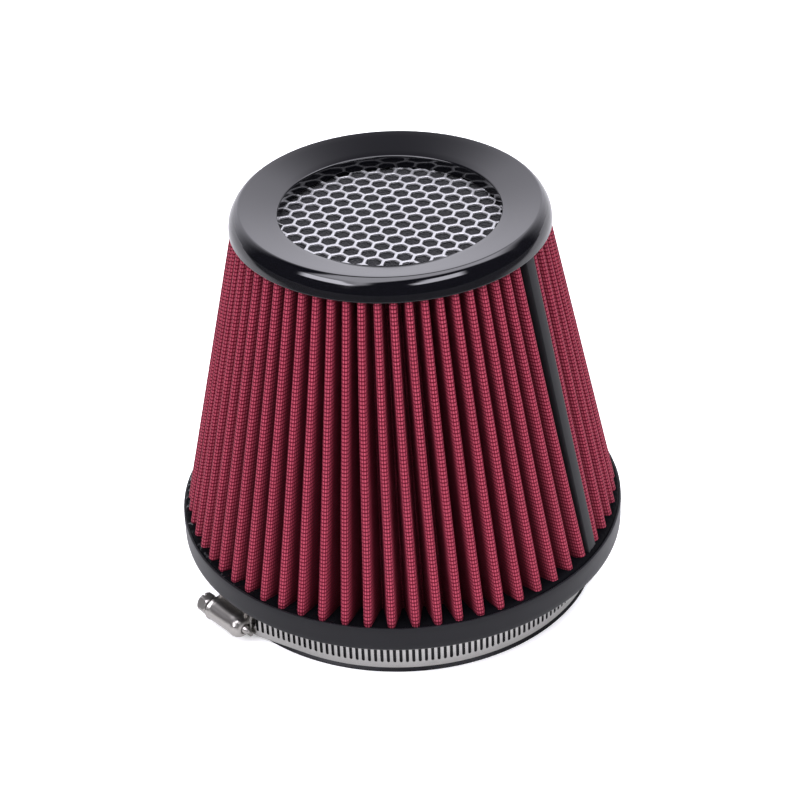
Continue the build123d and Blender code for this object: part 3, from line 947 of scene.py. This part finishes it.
class AIRFILTER_OT_grille(bpy.types.Operator):
    """Makes the grille of rounded hexagon cells, with a plain border that runs under the cap's edge"""

    bl_idname = "airfilter.grille"
    bl_label = "Hexagon Grille"

    BORDER_LAP = 3.2 * MM
    BORDER_SIDES = 96
    CELL_REACH = 0.62
    CORNER_REACH, CORNER_SOFTENING = 1.155, 0.03

    def execute(self, context):
        settings = settings_of("cap")
        corners, faces = [], []
        for centre in self.cell_centres(settings):
            self.add_cell(centre, settings, corners, faces)
        self.add_border(corners, faces)
        make_piece(
            "hexagon_grille", corners, faces, grille_finish(settings.metal), ["top_grille"], sharp=50.0
        )
        return {"FINISHED"}

    def cell_centres(self, settings):
        """Middles of the cells that lie inside the blank."""
        across = Matrix.Rotation(settings.cell_turn, 2) @ Vector((settings.cell_pitch, 0))
        slant = Matrix.Rotation(pi / 3, 2) @ across
        reach_r = BLANK_APOTHEM - settings.cell_pitch * self.CELL_REACH
        count = ceil(2 * BLANK_R / settings.cell_pitch)
        places = [
            Vector(settings.cell_shift) + across * column + slant * row
            for column in range(-count, count + 1)
            for row in range(-count, count + 1)
        ]
        return [place for place in places if place.length < reach_r]

    def add_cell(self, centre, settings, corners, faces):
        """The half strands round one cell, from their ridge down the wall to the underside."""
        side_steps = 4
        ridge = settings.cell_pitch / 2
        hole = ridge - settings.strand / 2
        rings = [
            (ridge, GRILLE_TOP, 0.0),
            (hole + 0.16 * settings.strand, GRILLE_TOP - 0.03 * MM, 0.5),
            (hole + 0.03 * settings.strand, GRILLE_TOP - 0.12 * MM, 0.9),
            (hole, GRILLE_TOP - 0.28 * MM, 1.0),
            (hole, GRILLE_BOTTOM + 0.1 * MM, 1.0),
            (ridge, GRILLE_BOTTOM, 0.0),
        ]
        start = len(corners)
        count = 6 * side_steps
        for apothem, height, softness in rings:
            for step in range(count):
                turn = 2 * pi * step / count
                flat = apothem / cos(off_flat(turn))
                soft = min(flat, apothem * (self.CORNER_REACH - self.CORNER_SOFTENING * softness))
                lie = turn + settings.cell_turn
                corners.append((centre.x + soft * cos(lie), centre.y + soft * sin(lie), height))
        for face in grid_faces(len(rings), count, wrap_columns=True):
            faces.append(tuple(start + corner for corner in face))

    def add_border(self, corners, faces):
        """The plain edge of the blank, which the cap covers."""
        inner, outer = OPENING_R + self.BORDER_LAP, BLANK_APOTHEM
        lift = 0.03 * MM
        low, high = GRILLE_BOTTOM + lift, GRILLE_TOP - lift
        ring, ring_faces = lathe([(inner, low), (outer, low), (outer, high), (inner, high)], self.BORDER_SIDES)
        start = len(corners)
        corners += ring
        faces += [tuple(start + corner for corner in face) for face in ring_faces]


class AIRFILTER_OT_pad(bpy.types.Operator):
    """Cuts the soft foam pad behind the grille"""

    bl_idname = "airfilter.pad"
    bl_label = "Foam Pad"

    def execute(self, context):
        settings = settings_of("cap")
        rings, sides, edge_power = 24, 96, 24
        nap_height, nap_scale = 0.25 * MM, 160
        middle = (PAD_BOTTOM + PAD_TOP) / 2
        corners = []
        for face in (1, -1):
            for ring in range(rings + 1):
                radius = BLANK_APOTHEM * ring / rings
                crown = (PAD_TOP - PAD_BOTTOM) / 2 * sqrt(max(0.0, 1 - (ring / rings) ** edge_power))
                for side in range(sides):
                    turn = 2 * pi * side / sides
                    spot = Vector((radius * cos(turn), radius * sin(turn), 0))
                    fluff = noise.noise(spot * nap_scale + Vector((0, 0, face))) - 0.9
                    nap = nap_height * fluff if ring < rings else 0.0
                    corners.append((spot.x, spot.y, middle + face * (crown + nap)))
        count = (rings + 1) * sides
        faces = grid_faces(rings + 1, sides, wrap_columns=True)
        faces += [tuple(count + corner for corner in reversed(face)) for face in faces]
        pad = make_piece("foam_pad", corners, faces, foam_finish(settings.foam), ["grille_pad"])
        return {"FINISHED"}


def band_path(settings):
    """Inner line of the band, from the housing's mouth round the neck and back under the housing."""
    worm_gap = 0.35 * MM
    saddle_r = SCREW_R - settings.worm_r - worm_gap - 2 * settings.band_thickness
    front = (ALONG * HOUSING_FRONT + OUTWARD * saddle_r).to_2d()
    back = (ALONG * HOUSING_BACK + OUTWARD * saddle_r).to_2d()
    start = atan2(front.y, front.x) + acos(BAND_INNER_R / front.length)
    end = atan2(back.y, back.x) - acos(BAND_INNER_R / back.length) + 2 * pi
    arc_steps = 240
    arc = []
    for step in range(arc_steps + 1):
        turn = start + (end - start) * step / arc_steps
        arc.append(Vector((BAND_INNER_R * cos(turn), BAND_INNER_R * sin(turn))))
    saddle = rounded(
        [arc[-1], back, front, arc[0]], [0, settings.bend_round, settings.bend_round, 0], steps=12, closed=False
    )
    loop = arc[:-1] + saddle[:-1]
    first = min(range(len(loop)), key=lambda index: (loop[index] - front).length)
    loop = loop[first:] + loop[:first]
    return loop + loop[:1]


class Route:
    """A plan line that can be asked for a point at a run along it, set off outward."""

    def __init__(self, points):
        self.points = points
        self.runs = [0.0]
        for here, ahead in zip(points, points[1:]):
            self.runs.append(self.runs[-1] + (ahead - here).length)
        self.total = self.runs[-1]

    def at(self, run, off):
        """Point at a run along the line, a distance outward from it."""
        run %= self.total
        index = max(step for step in range(len(self.points) - 1) if self.runs[step] <= run + 1e-12)
        here, ahead = self.points[index], self.points[index + 1]
        share = (run - self.runs[index]) / (ahead - here).length
        point = here.lerp(ahead, share)
        outward = self.outward(index).lerp(self.outward(index + 1), share).normalized()
        return point + outward * off

    def outward(self, index):
        """Outward direction at a point of the line."""
        count = len(self.points) - 1
        run = self.points[(index + 1) % count] - self.points[(index - 1) % count]
        return Vector((run.y, -run.x)).normalized()


class AIRFILTER_OT_band(bpy.types.Operator):
    """Rolls the slotted band of the clamp, with its lapped tail"""

    bl_idname = "airfilter.band"
    bl_label = "Clamp Band"

    TAIL_START = 2.2 * MM

    def execute(self, context):
        settings = settings_of("clamp")
        route = Route(band_path(settings))
        slotted = settings.slotted_turn / (2 * pi) * route.total
        corners, faces = [], []
        count = round(route.total / settings.slot_pitch)
        pitch = route.total / count
        for step in range(count):
            holed = step * pitch < slotted
            self.add_stretch(route, step * pitch, pitch, holed, 0.0, settings, (corners, faces))
        for step in range(floor(settings.tail / pitch)):
            run = -self.TAIL_START - (step + 1) * pitch
            self.add_stretch(route, run, pitch, True, settings.band_thickness, settings, (corners, faces))
        finish = steel_finish("rolled_steel", settings.steel, 0.18, 0.32)
        piece = make_piece("slotted_band", corners, faces, finish, ["clamp_band"])
        spots = [corner.co for corner in piece.data.vertices]
        sheet = [(atan2(spot.y, spot.x) * BAND_INNER_R, spot.z) for spot in spots]
        add_layer(piece, "sheet", sheet.__getitem__)
        thicken(piece, settings.band_thickness)
        return {"FINISHED"}

    def add_stretch(self, route, run, pitch, holed, off, settings, parts):
        """One pitch of the band's outside, with its slot if it has one."""
        corners, faces = parts
        half, arc_steps = settings.slot_width / 2, 4
        low = BAND_LOW + (BAND_HIGH - BAND_LOW - settings.slot_length) / 2
        high = low + settings.slot_length
        start = len(corners)
        arc = [pi * step / arc_steps for step in range(arc_steps + 1)]
        across = [pitch / 2 - half * cos(turn) for turn in arc]
        lower = [low + half - half * sin(turn) for turn in arc] if holed else [low] * len(arc)
        upper = [high - half + half * sin(turn) for turn in arc] if holed else [high] * len(arc)
        columns = [(0.0, lower[0], upper[0])] + list(zip(across, lower, upper)) + [(pitch, lower[0], upper[0])]
        for place, bottom, top in columns:
            spot = route.at(run + place, off + settings.band_thickness)
            for height in (BAND_LOW, bottom, top, BAND_HIGH):
                corners.append((spot.x, spot.y, height))
        last = len(columns) - 1
        for column in range(last):
            for row in range(3):
                if holed and row == 1 and 0 < column < last - 1:
                    continue
                first = start + column * 4 + row
                faces.append((first, first + 4, first + 5, first + 1))


class AIRFILTER_OT_housing(bpy.types.Operator):
    """Presses the clamp's housing: a barrel with a domed mouth on two flat feet"""

    bl_idname = "airfilter.housing"
    bl_label = "Clamp Housing"

    SHELL_START, SHELL_TURN = radians(-52), radians(284)
    DOME_LENGTH, DOME_HOLE = 3.4 * MM, 2.3 * MM
    # Two bumps on the dome: millimetres from the mouth, degrees round, height and width in millimetres
    BUMPS = ((-2.0, 62, 0.3, 0.7), (-1.6, 28, 0.45, 1.1))
    FOOT_THICKNESS = 0.8 * MM
    FOOT_LIFT = 1.5 * MM

    def execute(self, context):
        settings = settings_of("clamp")
        finish = steel_finish("pressed_steel", settings.fittings, 0.28, 0.4)
        self.barrel(settings, finish)
        for name, corners, faces in self.feet(settings):
            foot = make_piece(name, corners, faces, finish, sharp=50.0)
            add_steel_sheet(foot)
        return {"FINISHED"}

    def barrel(self, settings, finish):
        """The pressed shell, closed by a dome round the screw's tip."""
        stations, around = 64, 60
        corners = []
        for station in range(stations + 1):
            share = station / stations
            place = HOUSING_BACK + (HOUSING_FRONT - HOUSING_BACK) * self.ease(share)
            radius, dome = self.radius(place, settings)
            for step in range(around + 1):
                turn = self.SHELL_START + self.SHELL_TURN * step / around
                corners.append(self.shell_point(place, turn, radius, dome))
        faces = grid_faces(stations + 1, around + 1)
        barrel = make_piece("clamp_barrel", corners, faces, finish, ["clamp_housing"], sharp=70.0)
        add_steel_sheet(barrel)
        thicken(barrel, settings.barrel_wall * 0.6, sharp=60.0)

    def ease(self, share):
        """More stations near the mouth, where the dome closes."""
        return share + 0.16 * sin(2 * pi * share) * (1 - share) - 0.04 * sin(2 * pi * share)

    def radius(self, place, settings):
        """Radius of the shell at a place along it, and how far it has closed to the dome."""
        from_mouth = HOUSING_FRONT - place
        from_back = place - HOUSING_BACK
        bulge = 0.35 * MM * exp(-(((from_mouth - 3.8 * MM) / (2.0 * MM)) ** 2))
        collar = 0.35 * MM * exp(-((from_back / (0.9 * MM)) ** 4))
        groove = 0.3 * MM * exp(-(((from_back - 1.5 * MM) / (0.35 * MM)) ** 2))
        full = settings.barrel_r + bulge + collar - groove
        if from_mouth > self.DOME_LENGTH:
            return full, 0.0
        dome = 1 - from_mouth / self.DOME_LENGTH
        return self.DOME_HOLE + (full - self.DOME_HOLE) * sqrt(max(0.0, 1 - dome**2)), dome

    def shell_point(self, place, turn, radius, dome):
        """A point of the shell: round over the top, straight down its sides to the band."""
        drop = SCREW_R - HOUSING_SEAT - 0.9 * MM
        across, up = cos(turn), sin(turn)
        if up < 0:
            straight = min(radius / max(abs(across), 0.2), drop / -up)
            reach_r = straight * (1 - dome) + radius * dome
        else:
            reach_r = radius
        for spot, high, tall, wide in self.BUMPS:
            apart = hypot(place - HOUSING_FRONT - spot * MM, (turn - radians(high)) * radius)
            reach_r += tall * MM * exp(-((apart / (wide * MM)) ** 2))
        return SCREW_POINT + ALONG * place + UP * (reach_r * across) + OUTWARD * (reach_r * up)

    def feet(self, settings):
        """The two flat feet that lie on the band, one past each side of the barrel."""
        pieces = []
        seat = HOUSING_SEAT + self.FOOT_LIFT
        inner, outer = settings.barrel_r - 0.5 * MM, (BAND_HIGH - BAND_LOW) / 2 + 0.6 * MM
        front, corner_round = HOUSING_FRONT - 0.5 * MM, 1.0 * MM
        plan = [
            ((HOUSING_BACK, inner), 0),
            ((HOUSING_BACK, outer), corner_round),
            ((front, outer), corner_round),
            ((front, inner), 0),
        ]
        outline = rounded_outline(plan, steps=5)
        for name, way in (("clamp_foot_upper", 1), ("clamp_foot_lower", -1)):
            corners = []
            for lift in (seat, seat + self.FOOT_THICKNESS):
                for point in outline:
                    corners.append(ALONG * point.x + UP * (SCREW_POINT.z + way * point.y) + OUTWARD * lift)
            count = len(outline)
            faces = grid_faces(2, count, wrap_columns=True)
            faces += [tuple(range(count)), tuple(range(count, 2 * count))]
            pieces.append((name, corners, faces))
        return pieces


def add_steel_sheet(piece):
    """Places for the rolled lines of a small steel piece: along the screw and across it."""
    spots = [corner.co for corner in piece.data.vertices]
    sheet = [(spot.dot(ALONG), spot.z + spot.dot(OUTWARD)) for spot in spots]
    add_layer(piece, "sheet", sheet.__getitem__)


class AIRFILTER_OT_screw(bpy.types.Operator):
    """Turns the clamp's screw: hexagon head with a driver slot, worm and blunt tip"""

    bl_idname = "airfilter.screw"
    bl_label = "Clamp Screw"

    def execute(self, context):
        settings = settings_of("clamp")
        around = 72
        corners = []
        stations = self.stations(settings)
        for place, radius_at in stations:
            for step in range(around):
                turn = 2 * pi * step / around
                radius = radius_at(turn)
                corners.append(SCREW_POINT + ALONG * place + UP * (radius * cos(turn)) + OUTWARD * (radius * sin(turn)))
        faces = grid_faces(len(stations), around, wrap_columns=True)
        last = (len(stations) - 1) * around
        faces += [tuple(range(around)), tuple(last + step for step in range(around))]
        finish = steel_finish("turned_steel", settings.fittings, 0.28, 0.4)
        screw = make_piece(
            "worm_screw", corners, faces, finish, ["clamp_screw"], body=SCREW_BODY, sharp=35.0
        )
        self.cut_slot(screw)
        add_steel_sheet(screw)
        return {"FINISHED"}

    def stations(self, settings):
        """Places along the screw, each with its outline as a radius for every turn."""
        flats = settings.head_flats / 2
        head_end = SCREW_BACK + settings.head_length
        worm_end = HOUSING_FRONT - 2.55 * MM

        def hexagon(limit):
            return lambda turn: min(flats / cos(off_flat(turn)), limit)

        def round_bar(radius):
            return lambda turn: radius

        def thread(place):
            def radius_at(turn):
                wave = cos(2 * pi * place / settings.thread_pitch - turn)
                return settings.worm_r - settings.thread_depth * (0.5 - 0.5 * max(-1.0, min(1.0, 2.2 * wave)))
            return radius_at

        ends = [(0.0, 0.86), (0.15, 0.96), (0.45, 1.03), (0.9, 1.1), (1.5, 1.2)]
        stations = [(SCREW_BACK + off * MM, hexagon(flats * size)) for off, size in ends]
        stations += [(head_end - off * MM, hexagon(flats * size)) for off, size in ends[::-1]]
        for off, size in ((0.05, 0.8), (0.75, 0.8), (0.85, 1.0), (1.5, 1.0)):
            stations.append((head_end + off * MM, round_bar(size * settings.worm_r)))
        steps = 90
        first = head_end + 1.8 * MM
        for step in range(steps + 1):
            place = first + (worm_end - first) * step / steps
            stations.append((place, thread(place)))
        for off, radius in ((0.0, 1.9), (2.6, 1.9), (3.3, 1.75), (4.2, 1.2), (4.9, 0.75)):
            stations.append((min(SCREW_FRONT, worm_end + 0.05 * MM + off * MM), round_bar(radius * MM)))
        stations.append((SCREW_FRONT, round_bar(0.35 * MM)))
        return stations

    def cut_slot(self, screw):
        """Cuts the driver slot across the head."""
        wide, deep, past_head = 1.2 * MM, 1.6 * MM, 10 * MM
        corners = []
        for place in (SCREW_BACK - deep, SCREW_BACK + deep):
            for up, out in ((-1, -1), (1, -1), (1, 1), (-1, 1)):
                corners.append(SCREW_POINT + ALONG * place + UP * (up * past_head) + OUTWARD * (out * wide / 2))
        faces = [(0, 3, 2, 1), (4, 5, 6, 7), (0, 1, 5, 4), (1, 2, 6, 5), (2, 3, 7, 6), (3, 0, 4, 7)]
        mesh = bpy.data.meshes.new("slot_cutter")
        mesh.from_pydata([tuple(corner) for corner in corners], [], faces)
        cutter = bpy.data.objects.new("slot_cutter", mesh)
        bpy.context.scene.collection.objects.link(cutter)
        cut = screw.modifiers.new("slot", "BOOLEAN")
        cut.object = cutter
        cut.operation = "DIFFERENCE"
        cut.solver = "EXACT"
        bpy.context.view_layer.update()
        made = bpy.data.meshes.new_from_object(screw.evaluated_get(bpy.context.evaluated_depsgraph_get()))
        screw.modifiers.clear()
        screw.data = made
        bpy.data.objects.remove(cutter)


# A soft box: its direction in degrees, half its width and height as seen from one metre away,
# how bright it looks, and the share of that brightness its lamp gives
SoftBox = namedtuple("SoftBox", "name turn rise wide tall radiance lamp_share")


class AIRFILTER_OT_stage(bpy.types.Operator):
    """Lays the floor, hangs the lights and sets up the camera"""

    bl_idname = "airfilter.stage"
    bl_label = "Stage"

    SOFT_BOXES = (
        SoftBox("key_light", turn=-142, rise=37, wide=0.31, tall=0.09, radiance=9.5, lamp_share=0.34),
        SoftBox("fill_light", turn=-56, rise=39, wide=0.30, tall=0.09, radiance=9.0, lamp_share=0.44),
        SoftBox("top_light", turn=-58, rise=80, wide=0.8, tall=0.34, radiance=5.5, lamp_share=0.21),
    )
    LIGHT_TARGET = Vector((0, 0, 0.1))
    LIGHT_DISTANCE = 1.2
    TENT_COLOUR = (0.975, 0.96, 1.055, 1)

    def execute(self, context):
        settings = settings_of("stage")
        self.add_floor(settings)
        self.add_world()
        self.add_lights()
        self.add_camera(settings)
        context.scene.view_settings.view_transform = "Standard"
        return {"FINISHED"}

    def add_floor(self, settings):
        """A wide pale floor."""
        wide = 30.0
        mesh = bpy.data.meshes.new("floor")
        mesh.from_pydata([(-wide, -wide, 0), (wide, -wide, 0), (wide, wide, 0), (-wide, wide, 0)], [], [(0, 1, 2, 3)])
        mesh.materials.append(floor_finish(settings.floor_tint))
        floor_piece = bpy.data.objects.new("floor", mesh)
        floor_piece.location.z = GROUND - 0.02 * MM
        bpy.context.scene.collection.objects.link(floor_piece)

    def add_world(self):
        """A light tent: bright walls at the sides and back, a dim top and an open front."""
        world = bpy.data.worlds.new("light_tent")
        bpy.context.scene.world = world
        world.use_nodes = True
        nodes = Nodes(world.node_tree)
        back = world.node_tree.nodes["Background"]
        direction = nodes.add("ShaderNodeTexCoord").outputs["Generated"]
        _, forward, height = nodes.add("ShaderNodeSeparateXYZ", {0: direction}).outputs
        level = nodes.math("SQRT", nodes.math("SUBTRACT", 1.0001, nodes.math("MULTIPLY", height, height)))
        front = nodes.math("DIVIDE", nodes.math("MULTIPLY", forward, -1.0), level)
        walls = nodes.ramp(height, low=0.0, high=0.4, to_low=1.6, to_high=1.95)
        dim_top = nodes.ramp(height, low=0.6, high=0.86, to_low=1.0, to_high=0.12)
        open_front = nodes.ramp(front, low=-0.88, high=-0.3, to_low=1.0, to_high=0.03)
        light = nodes.math("MULTIPLY", nodes.math("MULTIPLY", walls, dim_top), open_front)
        for box in self.SOFT_BOXES:
            light = nodes.math("ADD", light, self.glow(nodes, direction, box))
        nodes.feed(back, "Strength", light)
        back.inputs["Color"].default_value = self.TENT_COLOUR

    def glow(self, nodes, direction, box):
        """A soft box as reflections see it, fading out at its edges."""
        toward, aside, above = self.axes(box)
        facing = nodes.add("ShaderNodeVectorMath", {0: direction, 1: toward}, operation="DOT_PRODUCT").outputs["Value"]
        light = nodes.math("MULTIPLY", nodes.math("GREATER_THAN", facing, 0.0), box.radiance)
        for axis, size in ((aside, box.wide), (above, box.tall)):
            off = nodes.add("ShaderNodeVectorMath", {0: direction, 1: axis}, operation="DOT_PRODUCT").outputs["Value"]
            edge = nodes.ramp(nodes.math("ABSOLUTE", off), 0.7 * size, 1.1 * size, 1.0, 0.0)
            light = nodes.math("MULTIPLY", light, edge)
        return light

    def axes(self, box):
        """Direction towards a soft box, and the directions across it and up it."""
        turn, rise = radians(box.turn), radians(box.rise)
        toward = Vector((cos(turn) * cos(rise), sin(turn) * cos(rise), sin(rise)))
        aside = Vector((-sin(turn), cos(turn), 0))
        return toward, aside, toward.cross(aside)

    def add_lights(self):
        """The soft boxes as lamps for the matt surfaces."""
        for box in self.SOFT_BOXES:
            lamp = bpy.data.lights.new(box.name, "AREA")
            lamp.shape = "RECTANGLE"
            lamp.size, lamp.size_y = 2 * box.wide * self.LIGHT_DISTANCE, 2 * box.tall * self.LIGHT_DISTANCE
            lamp.energy = box.lamp_share * box.radiance * pi * lamp.size * lamp.size_y
            light = bpy.data.objects.new(box.name, lamp)
            toward = self.axes(box)[0]
            light.location = self.LIGHT_TARGET + toward * self.LIGHT_DISTANCE
            light.rotation_euler = (-toward).to_track_quat("-Z", "Y").to_euler()
            light.visible_glossy = False
            bpy.context.scene.collection.objects.link(light)

    def add_camera(self, settings):
        """The camera, at the photograph's place and angle."""
        pitch, yaw, roll = settings.camera_pitch, settings.camera_yaw, settings.camera_roll
        ahead = Vector((sin(yaw) * cos(pitch), cos(yaw) * cos(pitch), -sin(pitch)))
        right = ahead.cross(UP).normalized()
        above = right.cross(ahead)
        tilted_right = right * cos(roll) + above * sin(roll)
        tilted_up = above * cos(roll) - right * sin(roll)
        lens = bpy.data.cameras.new("camera")
        lens.lens = settings.lens
        lens.sensor_width = 36.0
        lens.sensor_fit = "HORIZONTAL"
        lens.clip_start, lens.clip_end = 0.01, 20.0
        camera = bpy.data.objects.new("camera", lens)
        camera.matrix_world = Matrix.Translation(Vector(settings.camera_place)) @ Matrix(
            (tilted_right, tilted_up, -ahead)
        ).transposed().to_4x4()
        bpy.context.scene.collection.objects.link(camera)
        bpy.context.scene.camera = camera


class FilterSettings(bpy.types.PropertyGroup):
    """All settings of the air filter."""

    base: PointerProperty(type=BaseSettings, name="Base", description="Moulded base")
    media: PointerProperty(type=MediaSettings, name="Gauze", description="Pleated gauze and seam strip")
    cap: PointerProperty(type=CapSettings, name="Cap", description="Ring cap, grille and foam")
    clamp: PointerProperty(type=ClampSettings, name="Clamp", description="Worm clamp")
    stage: PointerProperty(type=StageSettings, name="Stage", description="Camera, lights and floor")


OPERATORS = (
    AIRFILTER_OT_base,
    AIRFILTER_OT_media,
    AIRFILTER_OT_strip,
    AIRFILTER_OT_cap,
    AIRFILTER_OT_grille,
    AIRFILTER_OT_pad,
    AIRFILTER_OT_band,
    AIRFILTER_OT_housing,
    AIRFILTER_OT_screw,
    AIRFILTER_OT_stage,
)


class AIRFILTER_PT_panel(bpy.types.Panel):
    """Lists the pieces of the air filter and their settings"""

    bl_idname = "AIRFILTER_PT_panel"
    bl_label = "Cone Air Filter"
    bl_space_type = "VIEW_3D"
    bl_region_type = "UI"
    bl_category = "Air Filter"

    def draw(self, context):
        for operator in OPERATORS:
            self.layout.operator(operator.bl_idname)
        for part in ("base", "media", "cap", "clamp", "stage"):
            settings = getattr(context.scene.air_filter, part)
            box = self.layout.box()
            for name in settings.bl_rna.properties.keys():
                if name not in ("rna_type", "name"):
                    box.prop(settings, name)


CLASSES = (
    BaseSettings,
    MediaSettings,
    CapSettings,
    ClampSettings,
    StageSettings,
    FilterSettings,
    *OPERATORS,
    AIRFILTER_PT_panel,
)


def register():
    """Makes the settings, operators and panel known to Blender."""
    for each in CLASSES:
        bpy.utils.register_class(each)
    bpy.types.Scene.air_filter = PointerProperty(type=FilterSettings)


def unregister():
    """Takes them away again."""
    del bpy.types.Scene.air_filter
    for each in reversed(CLASSES):
        bpy.utils.unregister_class(each)


def main():
    """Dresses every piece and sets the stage."""
    register()
    for operator in OPERATORS:
        group_name, call = operator.bl_idname.split(".")
        getattr(getattr(bpy.ops, group_name), call)()
    bpy.context.view_layer.update()


if __name__ == "__main__":
    main()
